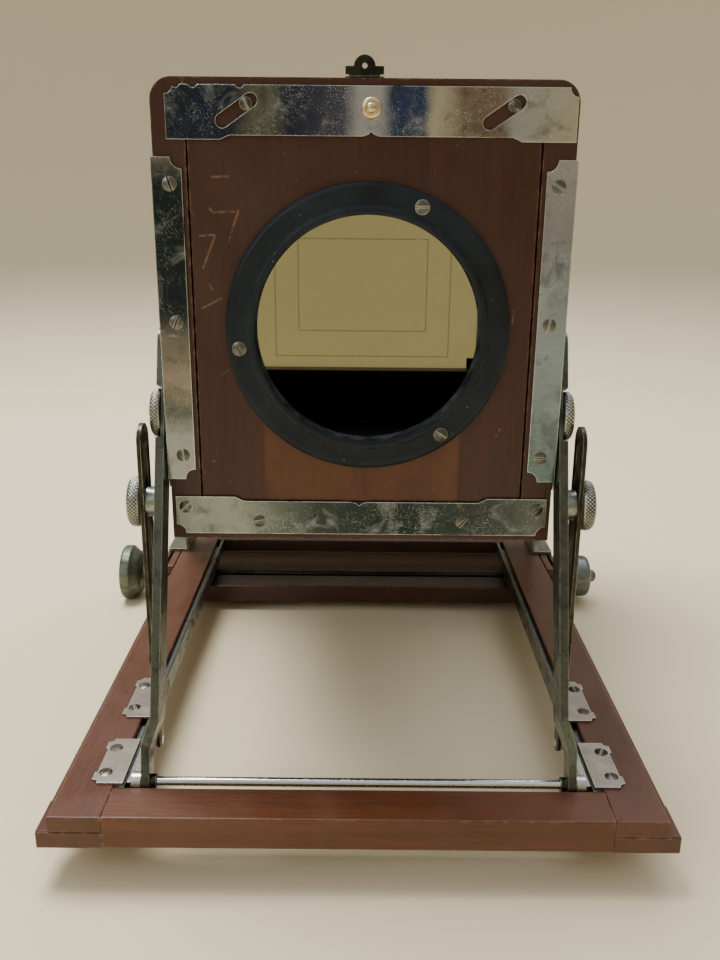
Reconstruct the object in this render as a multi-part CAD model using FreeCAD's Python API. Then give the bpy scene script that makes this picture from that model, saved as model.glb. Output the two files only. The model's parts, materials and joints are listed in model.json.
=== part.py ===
import FreeCAD, Part
import math
import os

# Wooden folding view camera, set up with its bed run out and its front standard raised.
# Row frame: origin at the mouth of the tripod bush on the underside, +X to the right seen
# from the lens side, +Y from the lens towards the ground glass, +Z up. Millimetres.
# Most places are given as a distance behind the bed's front edge and a height above the
# bed's top face; depth() and height() turn those into row coordinates.

BUSH_DEPTH = 370.0  # the tripod bush is this far behind the bed's front edge
BED_HEIGHT = 32.0  # the bed's top face above the surface that the camera stands on

# bed: an open frame that slides in the base
BED_HALF = 125.2
BED_LENGTH = 320.0
BED_THICK = 14.5
RAIL_THICK = 9.2  # behind the front rail the side rails are rebated to clear the shaft
RAIL_INNER = 103.5
FRONT_RAIL = 19.9
FRONT_RAIL_HALF = 103.5
REAR_RAIL_FROM = 307.0
LIP_HALF = 130.2
LIP_TOP = -7.0
TONGUE_HALF = 129.5
TONGUE_TOP = -6.6
STRIP_INNER = 99.0
STRIP_OUTER = 100.5
COVER_X = (99.7, 113.3)
FRONT_COVER = (21.2, 53.6)
REAR_COVER = (72.0, 108.0)
COVER_SCREW_DEPTHS = (28.6, 46.4, 80.0, 100.5)

# rack and pinion
MODULE = 0.8
PINION_TEETH = 10
PITCH_RADIUS = MODULE * PINION_TEETH / 2
SHAFT_DEPTH = 280.0
SHAFT_HEIGHT = -14.0
SHAFT_RADIUS = 1.8
RUNNING = 0.05  # radial clearance of every shaft that turns in a hole

# base: two cheeks joined by cross members
BASE_FRONT = 258.0
BASE_REAR = 548.0
CHEEK_INNER = 125.7
CHEEK_OUTER = 134.6
CROSS_TOP = -14.2
CROSS_BOTTOM = -25.6
FRONT_CROSS_DEEP = 19.0  # its full thickness stops just short of the pinion shaft
FRONT_STEP_TO = 300.0  # a lower step of it runs on under the shaft
FRONT_STEP_TOP = -16.6
REAR_CROSS_DEEP = 24.0

# front standard
ROD_DEPTH = 24.2
ROD_RADIUS = 2.0
ROD_HALF = 96.4
PIVOT_DEPTH = 78.0
PIVOT_HEIGHT = 148.0
STRUT_LENGTH = math.hypot(PIVOT_DEPTH - ROD_DEPTH, PIVOT_HEIGHT)
STRUT_LEAN = math.degrees(math.atan2(PIVOT_DEPTH - ROD_DEPTH, PIVOT_HEIGHT))
STRUT_INNER = 84.2
STRUT_OUTER = 87.9
STRUT_WIDE = 13.0
STRUT_BEYOND = 37.0
STRUT_EYE_RADIUS = 4.0
TANG_TOP = 40.0  # the strut's bar begins here and its narrowing foot ends
EYE_INNER = 88.2
EYE_OUTER = 91.9
CLAMP_ALONG = 119.0  # the lower clamp's place along the strut
BRACE_FOOT_DEPTH = 62.0
BRACE_FOOT_HEIGHT = -4.4
BRACE_FOOT_RADIUS = 3.8
BRACE_INNER = 91.9
BRACE_OUTER = 93.7
BRACE_WIDE = 15.0
BRACE_SLOT = 6.0
BRACE_BEYOND = 34.5
BRACE_NUT = (11.0, 5.2)  # radius and thickness
TILT_NUT = (10.8, 4.2)

FRAME_HALF = 82.8
FRAME_BOTTOM = 93.3
FRAME_TOP = 281.2
FRAME_FRONT = 70.4
FRAME_DEEP = 18.0
FRAME_CORNER = 8.5
BOARD_HALF = 69.8
BOARD_BOTTOM = 110.5
BOARD_TOP = 262.0
BOARD_THICK = 6.0
LEDGE = 6.0
PLATE_THICK = 1.0
HEAD_RADIUS = 3.0

LENS_X = 2.0  # the lens sits a little off the middle of its board
LENS_HEIGHT = 185.2
RING_OUTER = 58.4
RING_BORE = 46.0
RING_THICK = 4.0
RING_SCREW_CIRCLE = 53.3
RING_SCREW_ANGLES = (66.8, 188.0, 306.0)

LOCK_MIDDLE = 2.5  # the lock plate rests this far right of the middle
LOCK_HALF = 79.5
LOCK_BOTTOM = 260.2
LOCK_TOP = 278.4
LOCK_SLOT_PLACES = (-49.5, 53.7)
LOCK_SLOT_HEIGHT = 269.2
LOCK_SLOT_ANGLE = 34.0
LOCK_SLOT_LONG = 18.6
LOCK_SLOT_WIDE = 5.2
LOCK_SCREW_SHORT = 2.2  # at rest the guide screws stop this far short of the slots' upper ends
LOCK_BITES = (-75.0, -68.4, -50.4)  # small round bites in the top edge, from the middle

# rear body, back and ground glass
REAR_HALF = 120.0
REAR_FRONT = 266.0
REAR_DEEP = 44.0
REAR_BOTTOM = 32.0
REAR_TOP = 302.0
REAR_WALL = 10.0
GLASS_HEIGHT = 180.3
GLASS_HALF_WIDE = 79.0
GLASS_HALF_TALL = 56.0
BACK_HALF = 117.0
BACK_THICK = 12.0
SILL_THICK = 10.0
GLASS_FRAME_HALF_WIDE = 94.0
GLASS_FRAME_HALF_TALL = 70.0
GLASS_FRAME_THICK = 12.0
BELLOWS_WALL = 2.0
BELLOWS_HEIGHT = 187.5  # middle of the bellows' front end
BELLOWS_FRONT_HALF = 64.5
BELLOWS_REAR_HALF = 98.5
BELLOWS_REAR = 303.0  # its rear end is glued far inside the rear body, where it packs


def depth(distance):
    """Row Y of a point this far behind the bed's front edge."""
    return distance - BUSH_DEPTH


def height(above):
    """Row Z of a point this far above the bed's top face."""
    return above + BED_HEIGHT


def block(x, y, z):
    """A box from three (low, high) pairs, with depths and heights measured from the bed."""
    corner = FreeCAD.Vector(x[0], depth(y[0]), height(z[0]))
    return Part.makeBox(x[1] - x[0], y[1] - y[0], z[1] - z[0], corner)


def rod_x(x, at_depth, at_height, radius):
    """A cylinder along X between two X values."""
    start = FreeCAD.Vector(x[0], depth(at_depth), height(at_height))
    return Part.makeCylinder(radius, x[1] - x[0], start, FreeCAD.Vector(1, 0, 0))


def rod_y(y, at_x, at_height, radius):
    """A cylinder along Y between two depths."""
    start = FreeCAD.Vector(at_x, depth(y[0]), height(at_height))
    return Part.makeCylinder(radius, y[1] - y[0], start, FreeCAD.Vector(0, 1, 0))


def rod_z(z, at_x, at_depth, radius):
    """A cylinder along Z between two heights."""
    start = FreeCAD.Vector(at_x, depth(at_depth), height(z[0]))
    return Part.makeCylinder(radius, z[1] - z[0], start, FreeCAD.Vector(0, 0, 1))


def joined(*shapes):
    """One solid out of shapes that touch."""
    return shapes[0].multiFuse(list(shapes[1:])).removeSplitter()


def without(shape, *tools):
    """The shape with every tool cut away."""
    for tool in tools:
        shape = shape.cut(tool)
    return shape


def eased(shape, radius):
    """The shape with all its edges rounded a little, as sanded wood is."""
    return shape.makeFillet(radius, shape.Edges)


def both_sides(shape):
    """The shape for the right side, and its mirror image for the left."""
    mirrored = shape.mirror(FreeCAD.Vector(0, 0, 0), FreeCAD.Vector(1, 0, 0))
    return {"right": shape, "left": mirrored}


def spun(outline, axis_start, axis):
    """A turned piece: (along, radius) points joined by lines, swept round an axis."""
    along = FreeCAD.Vector(*axis)
    across = FreeCAD.Vector(0, 0, 1) if abs(axis[2]) < 0.5 else FreeCAD.Vector(1, 0, 0)
    start = FreeCAD.Vector(axis_start[0], depth(axis_start[1]), height(axis_start[2]))
    points = [start + along * a + across * r for a, r in outline]
    face = Part.Face(Part.makePolygon(points + [points[0]]))
    return face.revolve(start, along, 360)


def turned_about_rod(shape):
    """Leans a piece that was drawn upright over the cross rod back to the strut's angle."""
    copy = shape.copy()
    centre = FreeCAD.Vector(0, depth(ROD_DEPTH), height(0))
    copy.rotate(centre, FreeCAD.Vector(1, 0, 0), -STRUT_LEAN)
    return copy


def along_strut(distance):
    """Depth and height of a point on the strut's middle line."""
    lean = math.radians(STRUT_LEAN)
    return ROD_DEPTH + distance * math.sin(lean), distance * math.cos(lean)


def slotted_head(centre, outward, radius, thick, shank, slot_angle):
    """A slotted screw: a round head, its slot, and a plain shank that goes into the work."""
    origin = FreeCAD.Vector(centre[0], depth(centre[1]), height(centre[2]))
    out = FreeCAD.Vector(*outward)
    head = Part.makeCylinder(radius, thick, origin, out)
    stem = Part.makeCylinder(radius * 0.48, shank, origin, out * -1)
    slot = Part.makeBox(radius * 3, radius * 0.3, thick)
    slot.translate(FreeCAD.Vector(-radius * 1.5, -radius * 0.15, thick * 0.45))
    slot.rotate(FreeCAD.Vector(0, 0, 0), FreeCAD.Vector(0, 0, 1), slot_angle)
    slot.Placement = FreeCAD.Placement(
        origin, FreeCAD.Rotation(FreeCAD.Vector(0, 0, 1), out)
    ).multiply(slot.Placement)
    return joined(head, stem).cut(slot)


def window(half_x, y, mid_height, half_z):
    """A box through a frame, centred on X."""
    heights = (mid_height - half_z, mid_height + half_z)
    return block((-half_x, half_x), y, heights)


def write(name, *solids):
    """One STEP file for one named piece or group of like pieces."""
    shape = solids[0] if len(solids) == 1 else Part.makeCompound(list(solids))
    shape.exportStep(f"parts/{name}.step")


def write_pair(name, shape):
    """The right piece and its mirror image, each in a file of its own."""
    for side, piece in both_sides(shape).items():
        write(f"{name}_{side}", piece)


def write_group(name, *shapes):
    """Right pieces and their mirror images, together in one file."""
    pieces = []
    for shape in shapes:
        pieces += both_sides(shape).values()
    write(name, *pieces)


# ---------------------------------------------------------------- base


def base_cheek():
    """Side board of the base: a groove inside for the bed, a slot on top for the rear body."""
    board = eased(block((CHEEK_INNER, CHEEK_OUTER), (BASE_FRONT, BASE_REAR), (-BED_HEIGHT, 0)), 0.8)
    groove = block((CHEEK_INNER - 1, LIP_HALF), (BASE_FRONT - 1, BASE_REAR + 1), (-9.6, -6.2))
    slot = block((129.9, 132.1), (262, 540), (-5, 1))
    shaft_hole = rod_x((120, 140), SHAFT_DEPTH, SHAFT_HEIGHT, SHAFT_RADIUS + RUNNING)
    return without(board, groove, slot, shaft_hole)


def base_cross(front, back):
    """A flat board between the cheeks, below the bed."""
    across = (-CHEEK_INNER, CHEEK_INNER)
    return eased(block(across, (front, back), (CROSS_BOTTOM, CROSS_TOP)), 0.8)


def base_front_cross():
    """The front cross board: a step under the shaft, relieved where the two pinions turn."""
    reach = PITCH_RADIUS + 2
    near, far = SHAFT_DEPTH - reach, SHAFT_DEPTH + reach
    relief = block((STRIP_INNER - 0.5, RAIL_INNER + 1.5), (near, far), (SHAFT_HEIGHT - reach, 0))
    board = base_cross(BASE_FRONT, BASE_FRONT + FRONT_CROSS_DEEP)
    step_depths = (BASE_FRONT + FRONT_CROSS_DEEP - 1, FRONT_STEP_TO)
    step = block((-CHEEK_INNER, CHEEK_INNER), step_depths, (CROSS_BOTTOM, FRONT_STEP_TOP))
    return without(joined(board, step), *both_sides(relief).values())


def tripod_board():
    """The thick board under the middle that takes the tripod bush."""
    board = block((-CHEEK_INNER, CHEEK_INNER), (335, 405), (-BED_HEIGHT, CROSS_TOP))
    return without(eased(board, 0.8), tripod_bush_outside())


def tripod_bush_outside():
    """Barrel and flange of the tripod bush, as let into the board."""
    flange = rod_z((-BED_HEIGHT, -BED_HEIGHT + 2), 0, BUSH_DEPTH, 13)
    barrel = rod_z((-BED_HEIGHT, CROSS_TOP), 0, BUSH_DEPTH, 8)
    return joined(flange, barrel)


def tripod_bush():
    bore = rod_z((-BED_HEIGHT - 1, CROSS_TOP - 3), 0, BUSH_DEPTH, 4.0)
    return tripod_bush_outside().cut(bore)


def shaft_bearing():
    """Nickel plate and collar on the cheek's outer face, where the pinion shaft comes out."""
    plate_y = (SHAFT_DEPTH - 14, SHAFT_DEPTH + 14)
    plate = block((CHEEK_OUTER, CHEEK_OUTER + 1.4), plate_y, (SHAFT_HEIGHT - 7, SHAFT_HEIGHT + 7))
    collar = rod_x((CHEEK_OUTER, CHEEK_OUTER + 3.6), SHAFT_DEPTH, SHAFT_HEIGHT, 5.5)
    hole = rod_x((120, 150), SHAFT_DEPTH, SHAFT_HEIGHT, SHAFT_RADIUS + RUNNING)
    return joined(plate, collar).cut(hole)


def bearing_screws():
    """Two screws on each bearing plate."""
    screws = []
    for side in (-1, 1):
        for offset in (-10, 10):
            centre = (side * (CHEEK_OUTER + 1.4), SHAFT_DEPTH + offset, SHAFT_HEIGHT)
            screws.append(slotted_head(centre, (side, 0, 0), 2.2, 0.7, 6, 40 + offset))
    return screws


# ---------------------------------------------------------------- pinion shaft


def pinion(x):
    """Small spur gear with one tooth pointing straight up."""
    root, tip = PITCH_RADIUS - 0.85, PITCH_RADIUS + 0.6
    body = rod_x(x, SHAFT_DEPTH, SHAFT_HEIGHT, root)
    centre = FreeCAD.Vector(0, depth(SHAFT_DEPTH), height(SHAFT_HEIGHT))
    teeth = []
    for number in range(PINION_TEETH):
        profile = [(-0.6, root - 0.3), (0.6, root - 0.3), (0.24, tip), (-0.24, tip)]
        points = [centre + FreeCAD.Vector(x[0], y, z) for y, z in profile]
        tooth = Part.Face(Part.makePolygon(points + [points[0]]))
        tooth = tooth.extrude(FreeCAD.Vector(x[1] - x[0], 0, 0))
        tooth.rotate(centre, FreeCAD.Vector(1, 0, 0), 360 / PINION_TEETH * number)
        teeth.append(tooth)
    bore = rod_x(x, SHAFT_DEPTH, SHAFT_HEIGHT, SHAFT_RADIUS)
    return joined(body, *teeth).cut(bore)


def pinion_shaft():
    return rod_x((-157, 152), SHAFT_DEPTH, SHAFT_HEIGHT, SHAFT_RADIUS)


def focus_knob():
    """Large plain knob on the left: sleeve, coned hub and thick rim."""
    outline = [(0, 0), (0, 6), (11.2, 6), (12, 15), (15.6, 17.5), (16, 18.6)]
    outline += [(25.3, 18.6), (26.3, 17.4), (26.6, 13), (26.8, 0)]
    knob = spun(outline, (-138.3, SHAFT_DEPTH, SHAFT_HEIGHT), (-1, 0, 0))
    return knob.cut(rod_x((-157, -130), SHAFT_DEPTH, SHAFT_HEIGHT, SHAFT_RADIUS))


def lock_knob():
    """Smaller knob on the right that jams the shaft: rounded rim and a small end cap."""
    outline = [(0, 0), (0, 13), (1, 14.2), (7.5, 14.2), (10.5, 12.8), (12, 8)]
    outline += [(12.4, 4.4), (15, 4.1), (17, 1.6), (17, 0)]
    knob = spun(outline, (148.2, SHAFT_DEPTH, SHAFT_HEIGHT), (1, 0, 0))
    return knob.cut(rod_x((140, 152.3), SHAFT_DEPTH, SHAFT_HEIGHT, SHAFT_RADIUS + RUNNING))


def lock_washer():
    """Thin brown disc and sleeve between the right bearing and its knob."""
    outline = [(0, 0), (0, 6), (7.6, 6), (7.6, 13.5), (9.7, 13.5), (9.7, 0)]
    washer = spun(outline, (138.3, SHAFT_DEPTH, SHAFT_HEIGHT), (1, 0, 0))
    return washer.cut(rod_x((130, 160), SHAFT_DEPTH, SHAFT_HEIGHT, SHAFT_RADIUS))


# ---------------------------------------------------------------- bed


def bed_side_rail():
    """Side rail: full thickness at the front end, rebated behind it, with a side tongue."""
    board = block((RAIL_INNER, BED_HALF), (0, BED_LENGTH), (-RAIL_THICK, 0))
    end = block((FRONT_RAIL_HALF, BED_HALF), (0, FRONT_RAIL), (-BED_THICK, 0))
    lip = block((BED_HALF - 1, LIP_HALF), (0, FRONT_RAIL), (-BED_THICK, LIP_TOP))
    tongue = block((BED_HALF - 1, TONGUE_HALF), (FRONT_RAIL, BED_LENGTH), (-RAIL_THICK, TONGUE_TOP))
    rail = joined(board, end, lip, tongue)
    long_top = [e for e in rail.Edges if is_long_top_edge(e)]
    batten_joint = block((FRONT_RAIL_HALF - 1, LIP_HALF + 1), (-1, 0.5), (LIP_TOP - 0.4, LIP_TOP))
    return rail.makeFillet(0.7, long_top).cut(batten_joint)


def is_long_top_edge(edge):
    """True for the edges of the rail's top face that run along it or close its front end."""
    box = edge.BoundBox
    on_top = abs(box.ZMin - height(0)) < 0.01 and abs(box.ZMax - height(0)) < 0.01
    return on_top and box.YMin < depth(1)


def bed_front_rail():
    end = FRONT_RAIL_HALF - 0.15
    board = block((-end, end), (0, FRONT_RAIL), (-BED_THICK, 0))
    return board.makeFillet(0.9, [e for e in board.Edges if e.BoundBox.XLength > 1])


def bed_rear_rail():
    board = block((-RAIL_INNER, RAIL_INNER), (REAR_RAIL_FROM, BED_LENGTH), (-RAIL_THICK, 0))
    return eased(board, 0.8)


def rail_strip():
    """Thin metal strip that lines the rail's inner face."""
    return block((STRIP_INNER, STRIP_OUTER), (FRONT_RAIL + 0.2, REAR_RAIL_FROM), (-9.0, -0.2))


def rack():
    """Toothed bar in the groove between strip and rail, teeth down, in mesh at rest."""
    pitch = math.pi * MODULE
    pitch_line = SHAFT_HEIGHT + PITCH_RADIUS
    root, tip = pitch_line + 0.85, pitch_line - 0.6
    first, last = -97, 7
    start = SHAFT_DEPTH + (first - 0.2) * pitch
    end = SHAFT_DEPTH + (last + 1.2) * pitch
    points = [(start, -3.2), (start, root)]
    for number in range(first, last + 1):
        middle = SHAFT_DEPTH + (number + 0.5) * pitch
        points += [(middle - 0.6, root), (middle - 0.26, tip)]
        points += [(middle + 0.26, tip), (middle + 0.6, root)]
    points += [(end, root), (end, -3.2)]
    corners = [FreeCAD.Vector(STRIP_OUTER, depth(y), height(z)) for y, z in points]
    face = Part.Face(Part.makePolygon(corners + [corners[0]]))
    return face.extrude(FreeCAD.Vector(RAIL_INNER - STRIP_OUTER, 0, 0))


def cover_plate(front, back):
    """Notched nickel plate over the groove: two concave corners on its outer side."""
    inner, outer = COVER_X
    plate = block((inner, outer), (front, back), (0, 1.1))
    notches = [rod_z((-1, 3), outer, y, 2.6) for y in (front, back)]
    waist = block((outer - 1, outer + 1), (front + 7.5, back - 7.5), (-1, 3))
    return without(plate, *notches, waist)


def cover_screws():
    """Two slotted screws near the outer side of each cover plate."""
    screws = []
    for side in (-1, 1):
        for at_depth in COVER_SCREW_DEPTHS:
            centre = (side * (COVER_X[1] - 4.6), at_depth, 1.1)
            screws.append(slotted_head(centre, (0, 0, 1), HEAD_RADIUS, 0.8, 8, 17 * at_depth))
    return screws


def strut_bracket():
    """Fixed knuckle round the cross rod, with an arm along the rail that carries the brace pin."""
    knuckle = rod_x((92.2, 96), ROD_DEPTH, 0, 4.0)
    arm = block((95.8, 98.8), (ROD_DEPTH, 70), (-8, -0.6))
    web = block((92.2, 98.8), (ROD_DEPTH, ROD_DEPTH + 5), (-4, -0.6))
    pin = rod_x((BRACE_INNER - 0.4, 97), BRACE_FOOT_DEPTH, BRACE_FOOT_HEIGHT, 2.0)
    spacer = rod_x((BRACE_OUTER + 0.1, 97), BRACE_FOOT_DEPTH, BRACE_FOOT_HEIGHT, 3.4)
    hole = rod_x((90, 97), ROD_DEPTH, 0, ROD_RADIUS + RUNNING)
    return joined(knuckle, arm, web, pin, spacer).cut(hole)


# ---------------------------------------------------------------- struts and braces


def strut():
    """Main strut, drawn upright over the cross rod and then leaned back."""
    top = STRUT_LENGTH + STRUT_BEYOND - STRUT_WIDE / 2
    half = STRUT_WIDE / 2
    bar = block((STRUT_INNER, STRUT_OUTER), (ROD_DEPTH - half, ROD_DEPTH + half), (TANG_TOP, top))
    crown = rod_x((STRUT_INNER, STRUT_OUTER), ROD_DEPTH, top, half)
    seat_low, seat_high = STRUT_LENGTH - 11.2, STRUT_LENGTH + 11.2
    seat = block((STRUT_INNER + 1.5, STRUT_OUTER + 1), (ROD_DEPTH - 9, ROD_DEPTH + 9), (seat_low, seat_high))
    hole = rod_x((80, 90), ROD_DEPTH, STRUT_LENGTH, 2.0 + RUNNING)
    return turned_about_rod(without(joined(bar, crown, strut_tang()), seat, hole, strut_eye_hole()))


def strut_tang():
    """The lower end: it steps outward to the eye on the rod, and narrows from the bar's width."""
    half, eye = STRUT_WIDE / 2, STRUT_EYE_RADIUS
    profile = [(STRUT_INNER, TANG_TOP), (STRUT_INNER, 26), (EYE_INNER, 14), (EYE_INNER, 0)]
    profile += [(EYE_OUTER, 0), (EYE_OUTER, 16), (STRUT_OUTER, 29), (STRUT_OUTER, TANG_TOP)]
    corners = [FreeCAD.Vector(x, depth(ROD_DEPTH - half), height(z)) for x, z in profile]
    stepped = Part.Face(Part.makePolygon(corners + [corners[0]])).extrude(FreeCAD.Vector(0, STRUT_WIDE, 0))
    outline = [(-eye, 0), (-eye, 9), (-half, 30), (-half, TANG_TOP)]
    outline += [(-y, z) for y, z in reversed(outline)]
    corners = [FreeCAD.Vector(80, depth(ROD_DEPTH + y), height(z)) for y, z in outline]
    narrowing = Part.Face(Part.makePolygon(corners + [corners[0]])).extrude(FreeCAD.Vector(15, 0, 0))
    return joined(stepped.common(narrowing), rod_x((EYE_INNER, EYE_OUTER), ROD_DEPTH, 0, eye))


def strut_eye_hole():
    return rod_x((80, 92), ROD_DEPTH, 0, ROD_RADIUS)


def cross_rod():
    return rod_x((-ROD_HALF, ROD_HALF), ROD_DEPTH, 0, ROD_RADIUS)


def rod_collar():
    """Dark collar beside each strut's eye."""
    return rod_x((85.6, 88.1), ROD_DEPTH, 0, 3.1).cut(strut_eye_hole())


def clamp_stud():
    """Stud of the lower clamp with the boss that spaces the brace off the strut."""
    at_depth, at_height = along_strut(CLAMP_ALONG)
    boss = rod_x((STRUT_OUTER, BRACE_INNER - 0.1), at_depth, at_height, 6.6)
    stem = rod_x((STRUT_OUTER, 97.5), at_depth, at_height, 1.5)
    return joined(boss, stem)


def clamp_knob(start, radius, thick, at_depth, at_height, stud):
    """Milled nut: a drum with a shallow dome and a blind hole for its stud."""
    dome = [(thick, radius - 1.6), (thick + 0.9, radius * 0.55), (thick + 1.2, 0)]
    outline = [(0, 0), (0, radius - 0.8), (0.8, radius), (thick - 0.9, radius)] + dome
    nut = spun(outline, (start, at_depth, at_height), (1, 0, 0))
    return nut.cut(rod_x((start - 1, stud[0]), at_depth, at_height, stud[1] + RUNNING))


def brace():
    """Slotted link from the bed up to the lower clamp."""
    at_depth, at_height = along_strut(CLAMP_ALONG)
    rise, run = at_height - BRACE_FOOT_HEIGHT, at_depth - BRACE_FOOT_DEPTH
    long = math.hypot(rise, run)
    lean = math.degrees(math.atan2(run, rise))
    half, x = BRACE_WIDE / 2, (BRACE_INNER, BRACE_OUTER)
    foot, tip = BRACE_FOOT_HEIGHT, BRACE_FOOT_HEIGHT + long + BRACE_BEYOND - half
    bar = block(x, (BRACE_FOOT_DEPTH - half, BRACE_FOOT_DEPTH + half), (foot + 14, tip))
    crown = rod_x(x, BRACE_FOOT_DEPTH, tip, half)
    narrow = BRACE_FOOT_RADIUS
    shank = block(x, (BRACE_FOOT_DEPTH - narrow, BRACE_FOOT_DEPTH + narrow), (foot, foot + 16))
    eye = rod_x(x, BRACE_FOOT_DEPTH, foot, narrow)
    slot_half = BRACE_SLOT / 2
    slot_depths = (BRACE_FOOT_DEPTH - slot_half, BRACE_FOOT_DEPTH + slot_half)
    slot_low, slot_high = foot + 26, tip - 3
    slot = block((90, 95), slot_depths, (slot_low, slot_high))
    slot_ends = [rod_x((90, 95), BRACE_FOOT_DEPTH, z, slot_half) for z in (slot_low, slot_high)]
    hole = rod_x((90, 95), BRACE_FOOT_DEPTH, foot, 2.0 + RUNNING)
    link = without(joined(bar, crown, shank, eye), slot, *slot_ends, hole)
    centre = FreeCAD.Vector(0, depth(BRACE_FOOT_DEPTH), height(foot))
    link.rotate(centre, FreeCAD.Vector(1, 0, 0), -lean)
    return link


# ---------------------------------------------------------------- front standard


def front_stile():
    """Upright of the front frame: rounded top corner, and a ledge behind for the lens board."""
    y = (FRAME_FRONT, FRAME_FRONT + FRAME_DEEP)
    board = block((BOARD_HALF, FRAME_HALF), y, (FRAME_BOTTOM, FRAME_TOP))
    corner_edge = [e for e in board.Edges if is_outer_top_corner(e)]
    board = board.makeFillet(FRAME_CORNER, corner_edge)
    ledge_y = (FRAME_FRONT + BOARD_THICK + 0.4, FRAME_FRONT + FRAME_DEEP)
    ledge = block((BOARD_HALF - LEDGE, BOARD_HALF), ledge_y, (BOARD_BOTTOM, BOARD_TOP))
    stud_hole = rod_x((76, 90), PIVOT_DEPTH, PIVOT_HEIGHT, 2.0)
    return joined(board, ledge).cut(stud_hole)


def is_outer_top_corner(edge):
    box = edge.BoundBox
    return box.XMin > FRAME_HALF - 0.01 and box.ZMin > height(FRAME_TOP) - 0.01


def front_cross(low, high, ledge_low, ledge_high):
    """Top or bottom member of the front frame, with its ledge."""
    y = (FRAME_FRONT, FRAME_FRONT + FRAME_DEEP)
    board = block((-BOARD_HALF, BOARD_HALF), y, (low, high))
    ledge_half = BOARD_HALF - LEDGE
    ledge_y = (FRAME_FRONT + BOARD_THICK + 0.4, FRAME_FRONT + FRAME_DEEP)
    ledge = block((-ledge_half, ledge_half), ledge_y, (ledge_low, ledge_high))
    return joined(board, ledge)


def lens_board():
    """Square board that takes the lens flange; a dark seam is left down each side of it."""
    seam, gap = 0.5, 0.3
    y = (FRAME_FRONT + gap, FRAME_FRONT + gap + BOARD_THICK)
    board = block((-BOARD_HALF + seam, BOARD_HALF - seam), y, (BOARD_BOTTOM + gap, BOARD_TOP - gap))
    board = eased(board, 0.5)
    return board.cut(rod_y((60, 90), LENS_X, LENS_HEIGHT, RING_BORE + 1.2))


def ring_flange():
    """Turned lens flange: flat rim, and a raised lip round the bore."""
    rim_front = FRAME_FRONT + 0.3 - RING_THICK
    bore, outer = RING_BORE, RING_OUTER
    outline = [(0, bore + 0.6), (0, bore + 3.2), (1.4, bore + 4.0), (1.4, outer - 1.6)]
    outline += [(2.4, outer), (1.4 + RING_THICK, outer), (1.4 + RING_THICK, bore), (0.6, bore)]
    ring = spun(outline, (LENS_X, rim_front - 1.4, LENS_HEIGHT), (0, 1, 0))
    spigot = rod_y((FRAME_FRONT + 0.3, FRAME_FRONT + 4.3), LENS_X, LENS_HEIGHT, RING_BORE + 1.1)
    spigot = spigot.cut(rod_y((60, 90), LENS_X, LENS_HEIGHT, RING_BORE))
    return joined(ring, spigot)


def ring_screws():
    screws = []
    for angle in RING_SCREW_ANGLES:
        turn = math.radians(angle)
        x = LENS_X + RING_SCREW_CIRCLE * math.cos(turn)
        z = LENS_HEIGHT + RING_SCREW_CIRCLE * math.sin(turn)
        centre = (x, FRAME_FRONT + 0.3 - RING_THICK, z)
        screws.append(slotted_head(centre, (0, -1, 0), HEAD_RADIUS, 0.8, 8, angle * 1.7))
    return screws


def front_plate(x, z, notches):
    """Flat nickel plate on the face of the front frame, with concave notches cut at corners."""
    plate = block(x, (FRAME_FRONT - PLATE_THICK, FRAME_FRONT), z)
    tools = [rod_y((60, 80), nx, nz, radius) for nx, nz, radius in notches]
    return without(plate, *tools)


def side_plate():
    """Edge plate that wraps round the outer edge of a stile."""
    low, high, inner = 120.6, 252.2, 71.6
    face = front_plate((inner, FRAME_HALF), (low, high), [(inner, low, 4.4), (inner, high, 4.4)])
    wrap = block((FRAME_HALF, FRAME_HALF + 0.8), (FRAME_FRONT - PLATE_THICK, FRAME_FRONT + 2.4), (low, high))
    return joined(face, wrap)


def outlined_plate(outline):
    """Flat nickel plate on the face of the front frame, from the (x, z) corners of its outline."""
    y = depth(FRAME_FRONT - PLATE_THICK)
    points = [FreeCAD.Vector(x, y, height(z)) for x, z in outline]
    face = Part.Face(Part.makePolygon(points + [points[0]]))
    return face.extrude(FreeCAD.Vector(0, PLATE_THICK, 0))


def flared_notch(middle, edge, deep):
    """Corners of a small pointed notch with flared sides, in order from left to right."""
    right = [(middle + 1.1, edge + deep * 0.4), (middle + 3.2, edge)]
    left = [(2 * middle - x, z) for x, z in reversed(right)]
    return left + [(middle, edge + deep)] + right


def bottom_plate():
    """Plate under the lens board: raised ends, hollow lower corners and a small pointed notch."""
    half, low, high, ear = 81.0, 95.7, 110.8, 112.7
    top = [(-half, ear), (-55, ear), (-51, high)] + flared_notch(-0.8, high, -1.7)
    top += [(51, high), (55, ear), (half, ear)]
    hollows = [rod_y((60, 80), x, low, 4.0) for x in (-half, half)]
    return without(outlined_plate([(-half, low)] + top + [(half, low)]), *hollows)


def lock_plate():
    """Sliding plate that holds the lens board's top edge, with two slanted slots."""
    left, right, foot = LOCK_MIDDLE - LOCK_HALF, LOCK_MIDDLE + LOCK_HALF, LOCK_BOTTOM - 1.6
    base = [(left, foot), (LOCK_MIDDLE - 58.6, foot), (LOCK_MIDDLE - 55, LOCK_BOTTOM)]
    base += flared_notch(LOCK_MIDDLE, LOCK_BOTTOM, 1.7)
    base += [(LOCK_MIDDLE + 55, LOCK_BOTTOM), (LOCK_MIDDLE + 58.6, foot), (right, foot)]
    plate = outlined_plate([(left, LOCK_TOP)] + base + [(right, LOCK_TOP)])
    hollows = [rod_y((60, 80), x, LOCK_TOP, 3.4) for x in (left, right)]
    bites = [rod_y((60, 80), LOCK_MIDDLE + x, LOCK_TOP + 0.5, 1.7) for x in LOCK_BITES]
    return without(plate, *hollows, *bites, *[lock_slot(x) for x in LOCK_SLOT_PLACES])


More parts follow.
